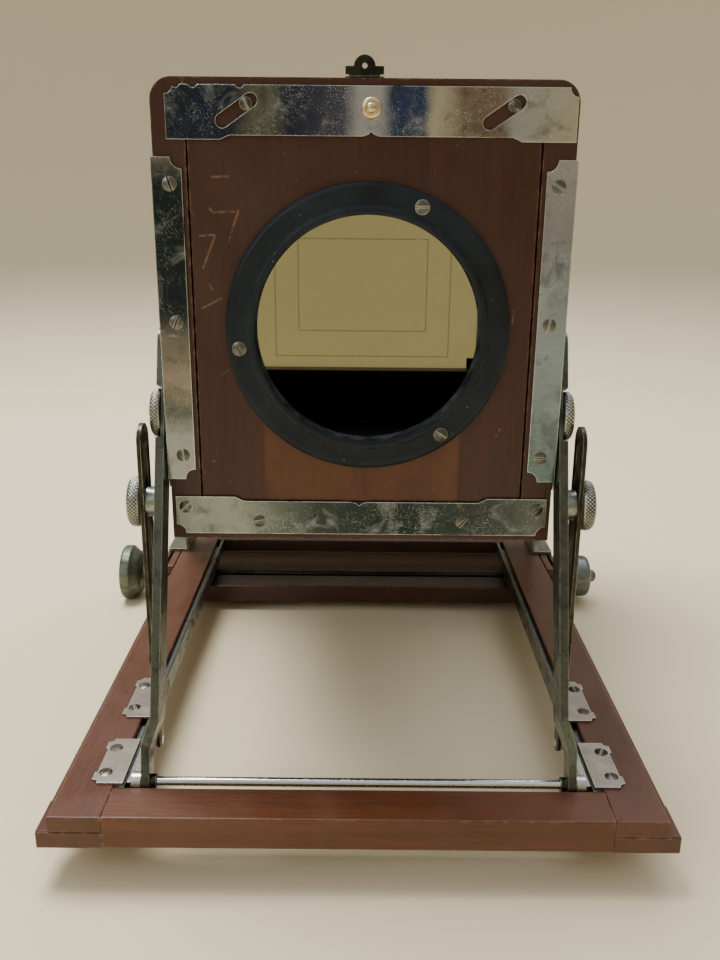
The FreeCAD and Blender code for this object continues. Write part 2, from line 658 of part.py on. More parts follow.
def lock_slot(x):
    """Round-ended slot, rising to the right."""
    half, run = LOCK_SLOT_WIDE / 2, (LOCK_SLOT_LONG - LOCK_SLOT_WIDE) / 2
    box = block((x - run, x + run), (60, 80), (LOCK_SLOT_HEIGHT - half, LOCK_SLOT_HEIGHT + half))
    ends = [rod_y((60, 80), x + side * run, LOCK_SLOT_HEIGHT, half) for side in (-1, 1)]
    slot = joined(box, *ends)
    centre = FreeCAD.Vector(x, 0, height(LOCK_SLOT_HEIGHT))
    slot.rotate(centre, FreeCAD.Vector(0, -1, 0), LOCK_SLOT_ANGLE)
    return slot


def lock_screws():
    """The two guide screws, near the upper end of their slots while the plate is down."""
    turn = math.radians(LOCK_SLOT_ANGLE)
    run = (LOCK_SLOT_LONG - LOCK_SLOT_WIDE) / 2 - LOCK_SCREW_SHORT
    screws = []
    for x in LOCK_SLOT_PLACES:
        centre = (x + run * math.cos(turn), FRAME_FRONT - 0.8, LOCK_SLOT_HEIGHT + run * math.sin(turn))
        screws.append(slotted_head(centre, (0, -1, 0), LOCK_SLOT_WIDE / 2 - 0.15, 0.9, 9, 20 - x))
    return screws


def lock_button():
    """Small turned brass button that the lock plate is pushed by."""
    outline = [(0, 0), (0, 3.0), (1.0, 2.2), (1.6, 3.6), (2.6, 3.9), (3.8, 3.4), (4.6, 1.8), (4.9, 0)]
    return spun(outline, (LOCK_MIDDLE, FRAME_FRONT - PLATE_THICK, 270.2), (0, -1, 0))


def plate_screws():
    """Screws of the side plates and the bottom plate."""
    places = [(side * 76.6, z) for side in (-1, 1) for z in (131.4, 188.0, 242.2)]
    places += [(side * 76.6, 108.0) for side in (-1, 1)]
    places += [(side * 44.5, 101.6) for side in (-1, 1)]
    screws = []
    for number, (x, z) in enumerate(places):
        centre = (x, FRAME_FRONT - PLATE_THICK, z)
        screws.append(slotted_head(centre, (0, -1, 0), HEAD_RADIUS, 0.7, 8, 37 * number))
    return screws


def pivot_plate():
    """Nickel plate let on to the stile's side, with the stud that the strut hangs on."""
    y, z = (FRAME_FRONT + 2.8, FRAME_FRONT + 15), (PIVOT_HEIGHT - 32, PIVOT_HEIGHT + 32)
    plate = block((FRAME_HALF, FRAME_HALF + 1.2), y, z)
    stud = rod_x((77, 88.4), PIVOT_DEPTH, PIVOT_HEIGHT, 2.0)
    return joined(plate, stud)


# ---------------------------------------------------------------- bellows


def bellows_section(half, mid_height, at_depth):
    """Square outline across the bellows."""
    corners = [(-half, -half), (half, -half), (half, half), (-half, half)]
    points = [FreeCAD.Vector(x, depth(at_depth), height(mid_height + z)) for x, z in corners]
    return Part.makePolygon(points + [points[0]])


def bellows():
    """The bellows' outer shape: a tapered square tube, open at both ends."""
    front, rear = FRAME_FRONT + FRAME_DEEP + 3, BELLOWS_REAR
    skins = []
    for inset in (0, BELLOWS_WALL):
        near = bellows_section(BELLOWS_FRONT_HALF - inset, BELLOWS_HEIGHT, front)
        far = bellows_section(BELLOWS_REAR_HALF - inset, GLASS_HEIGHT, rear)
        skins.append(Part.makeLoft([near, far], True, True))
    return skins[0].cut(skins[1])


def bellows_front_frame():
    """Black frame that holds the bellows' front end to the back of the front frame."""
    y = (FRAME_FRONT + FRAME_DEEP, FRAME_FRONT + FRAME_DEEP + 3)
    board = window(69, y, BELLOWS_HEIGHT, 69)
    return board.cut(window(60, (80, 100), BELLOWS_HEIGHT, 60))


def bellows_rear_frame():
    """Panel across the rear body that the bellows' rear end is glued to."""
    inside = REAR_HALF - REAR_WALL
    y = (BELLOWS_REAR, REAR_FRONT + REAR_DEEP)
    panel = block((-inside, inside), y, (REAR_BOTTOM + REAR_WALL, REAR_TOP - REAR_WALL))
    return panel.cut(window(95, (BELLOWS_REAR - 1, REAR_FRONT + REAR_DEEP + 1), GLASS_HEIGHT, 95))


# ---------------------------------------------------------------- rear body and back


def rear_side():
    y = (REAR_FRONT, REAR_FRONT + REAR_DEEP)
    return eased(block((REAR_HALF - REAR_WALL, REAR_HALF), y, (REAR_BOTTOM, REAR_TOP)), 1.0)


def rear_board(low):
    """Top or bottom board of the rear body."""
    inside = REAR_HALF - REAR_WALL
    y = (REAR_FRONT, REAR_FRONT + REAR_DEEP)
    return eased(block((-inside, inside), y, (low, low + REAR_WALL)), 1.0)


def rear_bottom():
    """Bottom board with a sill behind it, which closes the body below the square back."""
    sill_y = (REAR_FRONT + REAR_DEEP, REAR_FRONT + REAR_DEEP + SILL_THICK)
    sill = block((-BACK_HALF, BACK_HALF), sill_y, (REAR_BOTTOM, GLASS_HEIGHT - BACK_HALF - 0.3))
    return joined(rear_board(REAR_BOTTOM), eased(sill, 1.0))


def back_frame():
    """Square reversing back, with the opening that the ground glass looks through."""
    y = (REAR_FRONT + REAR_DEEP, REAR_FRONT + REAR_DEEP + BACK_THICK)
    board = eased(window(BACK_HALF, y, GLASS_HEIGHT, BACK_HALF), 1.2)
    return board.cut(window(GLASS_HALF_WIDE, (300, 330), GLASS_HEIGHT, GLASS_HALF_TALL))


def glass_frame():
    """Frame of the ground glass, with a rebate for the glass on its front side."""
    front = REAR_FRONT + REAR_DEEP + BACK_THICK + 0.3
    y = (front, front + GLASS_FRAME_THICK)
    board = eased(window(GLASS_FRAME_HALF_WIDE, y, GLASS_HEIGHT, GLASS_FRAME_HALF_TALL), 1.0)
    through = window(GLASS_HALF_WIDE, (300, 350), GLASS_HEIGHT, GLASS_HALF_TALL)
    rebate_y = (front - 1, front + 3.2)
    rebate = window(GLASS_HALF_WIDE + 3, rebate_y, GLASS_HEIGHT, GLASS_HALF_TALL + 3)
    return without(board, through, rebate)


def ground_glass():
    front = REAR_FRONT + REAR_DEEP + BACK_THICK + 1.1
    return window(GLASS_HALF_WIDE + 2.8, (front, front + 2.4), GLASS_HEIGHT, GLASS_HALF_TALL + 2.8)


def glass_clips():
    """Four small corner clips that hold the glass into its frame from the front."""
    front = REAR_FRONT + REAR_DEEP + BACK_THICK + 0.3
    clips = []
    for side_x in (-1, 1):
        for side_z in (-1, 1):
            x = sorted((side_x * (GLASS_HALF_WIDE - 6), side_x * (GLASS_HALF_WIDE + 2.6)))
            middle = GLASS_HEIGHT + side_z * GLASS_HALF_TALL
            z = sorted((middle - side_z * 7, middle + side_z * 2.6))
            clips.append(block(x, (front, front + 0.8), z))
    return clips


def back_spring():
    """Bent leaf spring down one side of the back: its middle is fixed, its ends rise rearwards."""
    rear = REAR_FRONT + REAR_DEEP + BACK_THICK
    press = rear + 0.3 + GLASS_FRAME_THICK
    inner, outer = GLASS_FRAME_HALF_WIDE + 2, GLASS_FRAME_HALF_WIDE + 10
    outline = [(0, rear), (8, rear), (22, press), (66, press + 1.2), (66, press + 2.4)]
    outline += [(21, press + 1.2), (7, rear + 1.2), (0, rear + 1.2)]
    halves = []
    for side in (-1, 1):
        points = [(depth(y), height(GLASS_HEIGHT + side * z)) for z, y in outline]
        corners = [FreeCAD.Vector(inner, y, z) for y, z in points]
        face = Part.Face(Part.makePolygon(corners + [corners[0]]))
        halves.append(face.extrude(FreeCAD.Vector(outer - inner, 0, 0)))
        ends = sorted((GLASS_HEIGHT + side * 58, GLASS_HEIGHT + side * 66))
        halves.append(block((inner - 8, inner + 1), (press + 1.2, press + 2.4), ends))
    return joined(*halves)


def rear_shoe():
    """Bent foot that carries the rear body on the cheek, with a key in the cheek's slot."""
    y = (284, 322)
    leg = block((REAR_HALF, REAR_HALF + 1.6), (268, 308), (REAR_BOTTOM, 92))
    neck = block((REAR_HALF, REAR_HALF + 1.6), (284, 308), (0.3, REAR_BOTTOM + 1))
    foot = block((REAR_HALF, CHEEK_OUTER - 0.5), y, (0.3, 2.1))
    key = block((130.0, 132.0), y, (-4.7, 0.4))
    stud = rod_z((0.4, 8.0), 128.6, 314, 1.6)
    return joined(leg, neck, foot, key, stud)


def shoe_screws():
    """Three screws that hold each shoe to the rear body's side."""
    screws = []
    for side in (-1, 1):
        for z in (40, 62, 84):
            centre = (side * (REAR_HALF + 1.6), 288, z)
            screws.append(slotted_head(centre, (side, 0, 0), 2.6, 0.8, 7, 21 * z))
    return screws


def shoe_nut():
    """Thumb nut that clamps the shoe to the cheek."""
    outline = [(0, 0), (0, 4.4), (1.2, 4.8), (5.2, 4.8), (6.6, 4.0), (7.2, 0)]
    nut = spun(outline, (128.6, 314, 2.2), (0, 0, 1))
    return nut.cut(rod_z((1, 8.2), 128.6, 314, 1.6 + RUNNING))


def latch_base():
    """Low plate on the rear body's top with two ears for the latch pin."""
    plate = block((-11.5, 11.5), (REAR_FRONT + 1, REAR_FRONT + 17), (REAR_TOP, REAR_TOP + 1.0))
    ears = []
    for x in ((-11.5, -9.6), (9.6, 11.5)):
        ears.append(block(x, (REAR_FRONT + 1, REAR_FRONT + 4.6), (REAR_TOP, REAR_TOP + 2.6)))
    pin = rod_x((-11, 11), REAR_FRONT + 2.8, REAR_TOP + 2.4, 0.8)
    return joined(plate, *ears, pin)


def latch_tab():
    """Latch: a knuckle on the pin, square shoulders, and a round top with a small hole."""
    axis_depth, axis_height = REAR_FRONT + 2.8, REAR_TOP + 2.4
    knuckle = rod_x((-9.3, 9.3), axis_depth, axis_height, 1.3)
    y = (axis_depth - 0.9, axis_depth + 0.4)
    neck = block((-9.3, 9.3), y, (axis_height, axis_height + 2))
    shoulder = block((-11.3, 11.3), y, (axis_height + 1.7, axis_height + 6.2))
    dome = rod_y(y, 0, axis_height + 6.0, 6.3)
    tab = joined(knuckle, neck, shoulder, dome)
    hole = rod_y((REAR_FRONT, REAR_FRONT + 9), 0, axis_height + 6.4, 1.5)
    return without(tab, hole, rod_x((-20, 20), axis_depth, axis_height, 0.8 + RUNNING))


def write_base():
    write_pair("base_cheek", base_cheek())
    write("base_crosses", base_front_cross(), base_cross(BASE_REAR - REAR_CROSS_DEEP, BASE_REAR))
    write("tripod_board", tripod_board())
    write("tripod_bush", tripod_bush())
    write_group("shaft_bearings", shaft_bearing())
    write("bearing_screws", *bearing_screws())


def write_pinion():
    write("pinion_shaft", pinion_shaft())
    write_group("pinions", pinion((STRIP_OUTER + 0.25, RAIL_INNER - 0.25)))
    write("focus_knob", focus_knob())
    write("lock_washer", lock_washer())
    write("lock_knob", lock_knob())


def write_bed():
    write_pair("bed_side_rail", bed_side_rail())
    write("bed_front_rail", bed_front_rail())
    write("bed_rear_rail", bed_rear_rail())
    write_group("rail_strips", rail_strip())
    write_group("racks", rack())
    write_group("cover_plates", cover_plate(*FRONT_COVER), cover_plate(*REAR_COVER))
    write("cover_screws", *cover_screws())
    write_group("strut_brackets", strut_bracket())


def write_struts():
    write_pair("strut", strut())
    write("cross_rod", cross_rod())
    write_group("rod_collars", rod_collar())
    write_group("clamp_studs", clamp_stud())
    write_group("braces", brace())
    low_depth, low_height = along_strut(CLAMP_ALONG)
    write_pair("brace_nut", clamp_knob(BRACE_OUTER + 0.2, *BRACE_NUT, low_depth, low_height, (97.7, 1.5)))
    tilt_start = STRUT_INNER + 1.7
    write_pair("tilt_nut", clamp_knob(tilt_start, *TILT_NUT, PIVOT_DEPTH, PIVOT_HEIGHT, (88.6, 2.0)))


def write_front_standard():
    write_group("front_stiles", front_stile())
    write("front_top_member", front_cross(BOARD_TOP, FRAME_TOP, BOARD_TOP - LEDGE, BOARD_TOP))
    write("front_bottom_member", front_cross(FRAME_BOTTOM, BOARD_BOTTOM, BOARD_BOTTOM, BOARD_BOTTOM + LEDGE))
    write("lens_board", lens_board())
    write("ring_flange", ring_flange())
    write_group("side_plates", side_plate())
    write("bottom_plate", bottom_plate())
    write("front_screws", *plate_screws(), *ring_screws())
    write_group("pivot_plates", pivot_plate())
    write("lock_plate", lock_plate())
    write("lock_screws", *lock_screws())
    write("lock_button", lock_button())


def write_bellows():
    write("bellows", bellows())
    write("bellows_front_frame", bellows_front_frame())
    write("bellows_rear_frame", bellows_rear_frame())


def write_rear_body():
    write_group("rear_sides", rear_side())
    write("rear_top", rear_board(REAR_TOP - REAR_WALL))
    write("rear_bottom", rear_bottom())
    write("back_frame", back_frame())
    write("glass_frame", glass_frame())
    write("ground_glass", ground_glass())
    write("glass_clips", *glass_clips())
    write_group("back_springs", back_spring())
    write_group("rear_shoes", rear_shoe())
    write("shoe_screws", *shoe_screws())
    write_pair("shoe_nut", shoe_nut())
    write("latch_base", latch_base())
    write("latch_tab", latch_tab())


os.makedirs("parts", exist_ok=True)
write_base()
write_pinion()
write_bed()
write_struts()
write_front_standard()
write_bellows()
write_rear_body()
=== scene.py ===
"""Looks of a folding wooden view camera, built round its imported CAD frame. Metres, row frame."""

import bmesh
import bpy
import json
import math
import random
from mathutils import Matrix, Vector


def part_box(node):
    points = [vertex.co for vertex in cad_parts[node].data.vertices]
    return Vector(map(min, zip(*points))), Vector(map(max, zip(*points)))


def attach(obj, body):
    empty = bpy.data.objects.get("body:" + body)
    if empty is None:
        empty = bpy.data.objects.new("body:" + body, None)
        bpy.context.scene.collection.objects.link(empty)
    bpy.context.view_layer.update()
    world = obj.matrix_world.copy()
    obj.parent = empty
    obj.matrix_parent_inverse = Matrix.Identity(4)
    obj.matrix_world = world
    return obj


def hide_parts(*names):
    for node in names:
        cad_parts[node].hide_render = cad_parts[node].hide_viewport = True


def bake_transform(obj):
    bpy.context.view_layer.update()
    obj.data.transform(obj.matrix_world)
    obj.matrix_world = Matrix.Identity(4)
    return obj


MM = 0.001
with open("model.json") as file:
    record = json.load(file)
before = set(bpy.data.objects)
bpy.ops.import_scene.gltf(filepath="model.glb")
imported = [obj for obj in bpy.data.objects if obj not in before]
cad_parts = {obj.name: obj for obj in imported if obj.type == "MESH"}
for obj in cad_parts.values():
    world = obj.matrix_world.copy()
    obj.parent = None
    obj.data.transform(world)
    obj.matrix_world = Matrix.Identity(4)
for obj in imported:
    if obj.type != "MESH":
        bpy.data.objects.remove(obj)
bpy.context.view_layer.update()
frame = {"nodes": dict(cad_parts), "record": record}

# ---------------------------------------------------------------- places read from the frame


def low(node):
    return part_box(node)[0]


def high(node):
    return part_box(node)[1]


def middle(node):
    lo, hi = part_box(node)
    return (Vector(lo) + Vector(hi)) / 2


def loose_boxes(node):
    """Lowest and highest corner of each separate solid in a grouped node."""
    mesh = bmesh.new()
    mesh.from_mesh(frame["nodes"][node].data)
    bmesh.ops.remove_doubles(mesh, verts=mesh.verts, dist=1e-6)
    waiting = set(mesh.verts)
    boxes = []
    while waiting:
        front = [waiting.pop()]
        island = list(front)
        while front:
            for edge in front.pop().link_edges:
                for vert in edge.verts:
                    if vert in waiting:
                        waiting.discard(vert)
                        front.append(vert)
                        island.append(vert)
        points = [vert.co for vert in island]
        lo = Vector([min(p[i] for p in points) for i in range(3)])
        hi = Vector([max(p[i] for p in points) for i in range(3)])
        boxes.append((lo, hi))
    mesh.free()
    return sorted(boxes, key=lambda box: tuple(round(c, 5) for c in box[0]))


# ---------------------------------------------------------------- shader building


class Finish:
    """A Principled material and the procedural nodes that feed it."""

    def __init__(self, name, roughness=0.5, metallic=0.0, **sockets):
        self.material = bpy.data.materials.new(name)
        self.material.use_nodes = True
        self.tree = self.material.node_tree
        self.surface = self.tree.nodes["Principled BSDF"]
        self.surface.inputs["Roughness"].default_value = roughness
        self.surface.inputs["Metallic"].default_value = metallic
        for socket, value in sockets.items():
            self.surface.inputs[socket.replace("_", " ")].default_value = value
        self.place = self.tree.nodes.new("ShaderNodeTexCoord").outputs["Object"]

    def node(self, kind, inputs=None, **settings):
        made = self.tree.nodes.new(kind)
        for key, value in settings.items():
            setattr(made, key, value)
        for key, value in (inputs or {}).items():
            self.feed(made.inputs[key], value)
        return made

    def feed(self, socket, value):
        if isinstance(value, bpy.types.NodeSocket):
            self.tree.links.new(value, socket)
        else:
            socket.default_value = value

    def stretched(self, stretch, turn=(0, 0, 0)):
        """Object coordinates scaled on each axis, after a turn."""
        turned = self.node("ShaderNodeMapping", {"Vector": self.place, "Rotation": turn})
        return self.node(
            "ShaderNodeMapping", {"Vector": turned.outputs[0], "Scale": stretch}
        ).outputs[0]

    def noise(self, scale, detail=3.0, rough=0.55, stretch=(1, 1, 1), turn=(0, 0, 0), warp=0.0):
        inputs = {
            "Vector": self.stretched(stretch, turn),
            "Scale": scale,
            "Detail": detail,
            "Roughness": rough,
            "Distortion": warp,
        }
        return self.node("ShaderNodeTexNoise", inputs).outputs["Fac"]

    def cells(self, scale, stretch=(1, 1, 1), turn=(0, 0, 0)):
        """Distance to the nearest of many scattered points: small near each point."""
        inputs = {"Vector": self.stretched(stretch, turn), "Scale": scale}
        return self.node("ShaderNodeTexVoronoi", inputs).outputs["Distance"]

    def band(self, value, start, end):
        """0 at start, 1 at end, clamped."""
        inputs = {"Value": value, "From Min": start, "From Max": end}
        return self.node("ShaderNodeMapRange", inputs, clamp=True).outputs["Result"]

    def math(self, operation, a, b=0.0):
        return self.node("ShaderNodeMath", {0: a, 1: b}, operation=operation).outputs[0]

    def both(self, a, b):
        return self.math("MULTIPLY", a, b)

    def either(self, a, b):
        return self.math("MAXIMUM", a, b)

    def mixed(self, factor, a, b):
        """Colour a where the factor is 0, b where it is 1."""
        made = self.tree.nodes.new("ShaderNodeMix")
        made.data_type = "RGBA"
        self.feed(made.inputs[0], factor)
        self.feed(made.inputs[6], a if not isinstance(a, tuple) else (*a, 1))
        self.feed(made.inputs[7], b if not isinstance(b, tuple) else (*b, 1))
        return made.outputs[2]

    def dot(self, vector, other):
        inputs = {0: vector, 1: other}
        return self.node("ShaderNodeVectorMath", inputs, operation="DOT_PRODUCT").outputs["Value"]

    def number(self, factor, a, b):
        """Number a where the factor is 0, b where it is 1."""
        inputs = {"Value": factor, "To Min": a, "To Max": b}
        return self.node("ShaderNodeMapRange", inputs, clamp=True).outputs["Result"]

    def edges(self, radius, start=0.003, end=0.09):
        """1 on edges and corners within this radius, 0 on flat faces."""
        rounded = self.node("ShaderNodeBevel", {"Radius": radius}, samples=4)
        flat = self.node("ShaderNodeNewGeometry")
        same = self.dot(rounded.outputs[0], flat.outputs["Normal"])
        return self.band(self.math("SUBTRACT", 1.0, same), start, end)

    def relief(self, bumps, bevel=0.0003):
        """Rounded edges, and (height, distance) bumps on top of each other."""
        normal = self.node("ShaderNodeBevel", {"Radius": bevel}, samples=4).outputs[0]
        for height, distance in bumps:
            inputs = {"Height": height, "Distance": distance, "Normal": normal}
            normal = self.node("ShaderNodeBump", inputs).outputs[0]
        self.tree.links.new(normal, self.surface.inputs["Normal"])

    def colour(self, value):
        self.feed(self.surface.inputs["Base Color"], value)

    def roughness(self, value):
        self.feed(self.surface.inputs["Roughness"], value)

    def metal(self, value):
        self.feed(self.surface.inputs["Metallic"], value)


def grain_stretch(along):
    """Scale that draws noise out along one axis, as wood grain is."""
    return tuple(0.035 if axis == along else 1.0 for axis in "xyz")


def wood(name, along, pale, deep, haze, haze_share=0.5, scratches=0.0, patch=False):
    """Old lacquered mahogany: grain, pores, hazed varnish, rubbed edges, dents and scratches."""
    made = Finish(name, Coat_Weight=0.12, Coat_Roughness=0.2, Specular_IOR_Level=0.35)
    stretch = grain_stretch(along)
    figure = made.noise(90, 4, 0.6, stretch, warp=0.4)
    fine = made.noise(900, 2, 0.5, stretch)
    pores = made.band(made.noise(1500, 2, 0.6, stretch), 0.62, 0.74)
    colour = made.mixed(made.band(figure, 0.3, 0.72), deep, pale)
    shade = tuple(c * 0.55 for c in deep)
    colour = made.mixed(made.both(made.band(fine, 0.45, 0.75), 0.35), colour, shade)
    cloud = made.noise(14, 3, 0.6, warp=0.6)
    hazed = made.both(made.band(cloud, 0.62 - haze_share * 0.4, 0.78 - haze_share * 0.2), 0.85)
    colour = made.mixed(hazed, colour, haze)
    colour = made.mixed(made.both(pores, 0.5), colour, tuple(c * 0.35 for c in deep))
    if patch:
        rubbed_clean = made.mixed(figure, (0.125, 0.04, 0.012), (0.055, 0.016, 0.006))
        colour = made.mixed(bare_patch(made), colour, rubbed_clean)
    # grime settles in soft patches, and rubbed edges show pale bare wood
    grime = made.band(made.noise(38, 5, 0.65), 0.56, 0.8)
    colour = made.mixed(made.both(grime, 0.4), colour, (0.035, 0.018, 0.012))
    rubbed = made.both(made.edges(0.0011), made.band(made.noise(240, 4, 0.7), 0.47, 0.62))
    colour = made.mixed(made.both(rubbed, 0.75), colour, (0.34, 0.2, 0.12))
    flecks = made.band(made.cells(210), 0.085, 0.045)
    flecks = made.both(flecks, made.band(made.noise(17, 2), 0.52, 0.64))
    colour = made.mixed(made.both(flecks, 0.55), colour, (0.42, 0.32, 0.24))
    if patch:
        colour = made.mixed(made.both(board_strokes(made), 0.5), colour, (0.27, 0.16, 0.095))
    lines = scratch_lines(made, along) if scratches else 0.0
    if scratches:
        colour = made.mixed(made.both(lines, scratches), colour, (0.5, 0.37, 0.27))
    made.colour(colour)
    made.roughness(made.number(made.band(cloud, 0.35, 0.7), 0.3, 0.52))
    dents = made.noise(60, 3, 0.5)
    made.relief([(fine, 0.00012), (pores, -0.00008), (dents, 0.0004)], 0.0006)
    return made.material


PENCIL_FRAMES = ((43.8, 30.8), (59.8, 48.4))  # half width and half height
PATCH_HALF = 42.5  # bare wood below the ring, from a little left of its middle
PATCH_TOP = 44.0


def bare_patch(made):
    """The lower middle of the lens board, where the haze has been rubbed off the warm grain."""
    split = made.node("ShaderNodeSeparateXYZ", {0: made.place})
    lower, ring = low("lens_board")[2], middle("ring_flange")
    beside = made.math("ABSOLUTE", made.math("SUBTRACT", split.outputs["X"], ring.x - 2 * MM))
    inside = made.band(beside, PATCH_HALF * MM, (PATCH_HALF - 1.5) * MM)
    below = made.band(split.outputs["Z"], lower + PATCH_TOP * MM, lower + (PATCH_TOP - 10) * MM)
    return made.both(made.both(inside, below), made.band(made.noise(30, 3), 0.2, 0.5))


STROKES = (
    ((-61.8, 48.4), (-60.2, 46.3)),
    ((-60.2, 46.3), (-51.0, 46.8)),
    ((-49.8, 47.3), (-53.4, 37.6)),
    ((-53.4, 37.6), (-54.2, 34.6)),
    ((-60.5, 59.7), (-53.0, 60.0)),
    ((-66.0, 37.2), (-59.4, 37.7)),
    ((-59.4, 37.7), (-65.2, 24.0)),
    ((-66.5, 8.2), (-57.5, 12.9)),
    ((-63.0, 18.5), (-60.6, 15.2)),
    ((57.4, -44.6), (59.2, -40.9)),
    ((61.5, 3.0), (61.9, 9.5)),
)


def board_strokes(made):
    """The few bold scratches on the lens board, as (x, z) lines measured from the lens, in mm."""
    centre = middle("ring_flange")
    marks = 0.0
    for start, end in STROKES:
        begin = Vector((start[0] * MM, 0, centre.z + start[1] * MM))
        along = Vector((end[0] * MM, 0, centre.z + end[1] * MM)) - begin
        unit = along.normalized()
        offset = made.node("ShaderNodeVectorMath", {0: made.place, 1: begin}, operation="SUBTRACT")
        reach = made.dot(offset.outputs[0], unit)
        aside = made.math("ABSOLUTE", made.dot(offset.outputs[0], Vector((-unit.z, 0, unit.x))))
        begun = made.band(reach, -0.3 * MM, 0.3 * MM)
        inside = made.both(begun, made.band(reach, along.length, along.length - 0.6 * MM))
        mark = made.both(made.band(aside, 0.6 * MM, 0.15 * MM), inside)
        marks = mark if marks == 0.0 else made.either(marks, mark)
    return made.both(marks, made.band(made.noise(420, 4, 0.7), 0.36, 0.56))


def scratch_lines(made, along):
    """Thin broken scratches in two slanting directions."""
    marks = []
    for turn, seed_scale in ((0.5, 1.0), (-0.95, 1.4)):
        axis_turn = (0, turn, 0) if along != "y" else (0, 0, turn)
        stretch = (1, 1, 0.03) if along != "y" else (1, 0.03, 1)
        streak = made.noise(160 * seed_scale, 1, 0.3, stretch, axis_turn)
        gate = made.band(made.noise(22 * seed_scale, 2), 0.56, 0.62)
        marks.append(made.both(made.band(streak, 0.735, 0.76), gate))
    return made.either(*marks)


def plate(name, tone, speck=0.6, rough=0.15, mottling=0.5):
    """Worn nickel plate over a colour made by tone(): speckles, milky patina, pits, and painted
    highlights along the edges.
    """
    made = Finish(name, metallic=1.0)
    base = tone(made)
    cloud = made.noise(60, 7, 0.72, warp=0.9)
    milky = made.both(made.band(cloud, 0.53, 0.68), mottling)
    dusk = made.both(made.band(made.noise(95, 6, 0.7, warp=0.5), 0.5, 0.66), mottling)
    colour = made.mixed(milky, base, (0.36, 0.4, 0.41))
    colour = made.mixed(dusk, colour, (0.03, 0.037, 0.04))
    salt = made.band(made.cells(1150), 0.26, 0.14)
    crumbs = made.band(made.noise(2300, 3, 0.7), 0.58, 0.68)
    salt = made.both(made.either(salt, crumbs), made.band(made.noise(70, 5, 0.65), 0.42, 0.6))
    pits = made.band(made.cells(420), 0.13, 0.06)
    pits = made.both(pits, made.band(made.noise(45, 3), 0.53, 0.62))
    colour = made.mixed(made.both(salt, speck), colour, (0.5, 0.54, 0.55))
    colour = made.mixed(made.both(pits, 0.6), colour, (0.02, 0.02, 0.018))
    # painted highlights: near-white colour along the plate's edges, broken up by noise
    edge_highlight = made.edges(0.0006, 0.01, 0.14)
    edge_highlight = made.both(edge_highlight, made.band(made.noise(85, 3), 0.3, 0.45))
    made.colour(made.mixed(edge_highlight, colour, (0.9, 0.9, 0.86)))
    dull = made.either(milky, made.either(salt, pits))
    made.roughness(made.number(dull, rough, 0.5))
    made.metal(made.number(dull, 1.0, 0.6))
    made.relief([(made.noise(420, 4, 0.6), 0.00003), (pits, -0.00006)], 0.00025)
    return made.material


def zones(made, axis, span, stops, stray=3.5):
    """Colours one after another along an axis (millimetres), with ragged borders."""
    split = made.node("ShaderNodeSeparateXYZ", {0: made.place})
    ragged = made.number(made.noise(55, 5, 0.65), -stray * MM, stray * MM)
    where = made.math("ADD", split.outputs[axis], ragged)
    ramp = made.tree.nodes.new("ShaderNodeValToRGB")
    made.feed(ramp.inputs[0], made.band(where, span[0] * MM, span[1] * MM))
    points = ramp.color_ramp.elements
    while len(points) < len(stops):
        points.new(0.5)
    for point, (place, colour) in zip(points, stops):
        point.position = place
        point.color = (*colour, 1)
    return ramp.outputs["Color"]


# colours of the painted reflections and tarnish on the lock plate
NAVY = (0.03, 0.042, 0.085)
DEEP_BLUE = (0.045, 0.07, 0.19)
PALE_BLUE = (0.46, 0.5, 0.62)
CREAM = (0.52, 0.52, 0.46)
FAWN = (0.24, 0.19, 0.17)
OLIVE_GREY = (0.14, 0.16, 0.15)


def lock_tones(made):
    """Painted reflections, dark and pale, mixed into the lock plate's tarnish, left to right."""
    stops = [(0.0, NAVY), (0.16, NAVY), (0.21, OLIVE_GREY), (0.26, OLIVE_GREY), (0.3, NAVY)]
    stops += [(0.43, (0.09, 0.1, 0.17)), (0.47, PALE_BLUE), (0.52, PALE_BLUE), (0.55, DEEP_BLUE)]
    stops += [(0.62, DEEP_BLUE), (0.65, CREAM), (0.69, (0.4, 0.38, 0.34)), (0.72, FAWN)]
    stops += [(0.81, FAWN), (0.85, (0.4, 0.45, 0.5)), (1.0, CREAM)]
    return zones(made, "X", (-77, 82), stops)


def side_tones(made):
    """Painted reflections on the edge plates: the left one dark above and pale below, the right one
    pale above.
    """
    span = (low("side_plates")[2] / MM, high("side_plates")[2] / MM)
    left = [(0.0, (0.27, 0.3, 0.29)), (0.15, (0.27, 0.3, 0.29)), (0.22, (0.1, 0.11, 0.1))]
    left += [(0.32, (0.25, 0.22, 0.18)), (0.45, (0.16, 0.15, 0.13)), (0.55, (0.022, 0.032, 0.038))]
    left += [(0.93, (0.026, 0.04, 0.048)), (1.0, (0.2, 0.22, 0.2))]
    right = [(0.0, (0.1, 0.15, 0.16)), (0.2, (0.16, 0.21, 0.23)), (0.45, (0.28, 0.35, 0.4))]
    right += [(0.8, (0.33, 0.35, 0.41)), (1.0, (0.42, 0.42, 0.45))]
    split = made.node("ShaderNodeSeparateXYZ", {0: made.place})
    on_right = made.band(split.outputs["X"], -MM, MM)
    return made.mixed(on_right, zones(made, "Z", span, left), zones(made, "Z", span, right))


def bottom_tones(made):
    # painted reflections across the bottom plate: paler at the ends, darkest through the middle
    stops = [(0.0, (0.16, 0.18, 0.165)), (0.14, (0.22, 0.25, 0.23)), (0.28, (0.1, 0.12, 0.11))]
    stops += [(0.38, (0.035, 0.046, 0.042)), (0.6, (0.016, 0.026, 0.024))]
    stops += [(0.85, (0.04, 0.05, 0.047)), (1.0, (0.09, 0.1, 0.09))]
    return zones(made, "X", (-81, 81), stops)


def cover_tones(made):
    cloud = made.band(made.noise(70, 5, 0.7), 0.35, 0.68)
    return made.mixed(cloud, (0.48, 0.44, 0.39), (0.3, 0.27, 0.235))


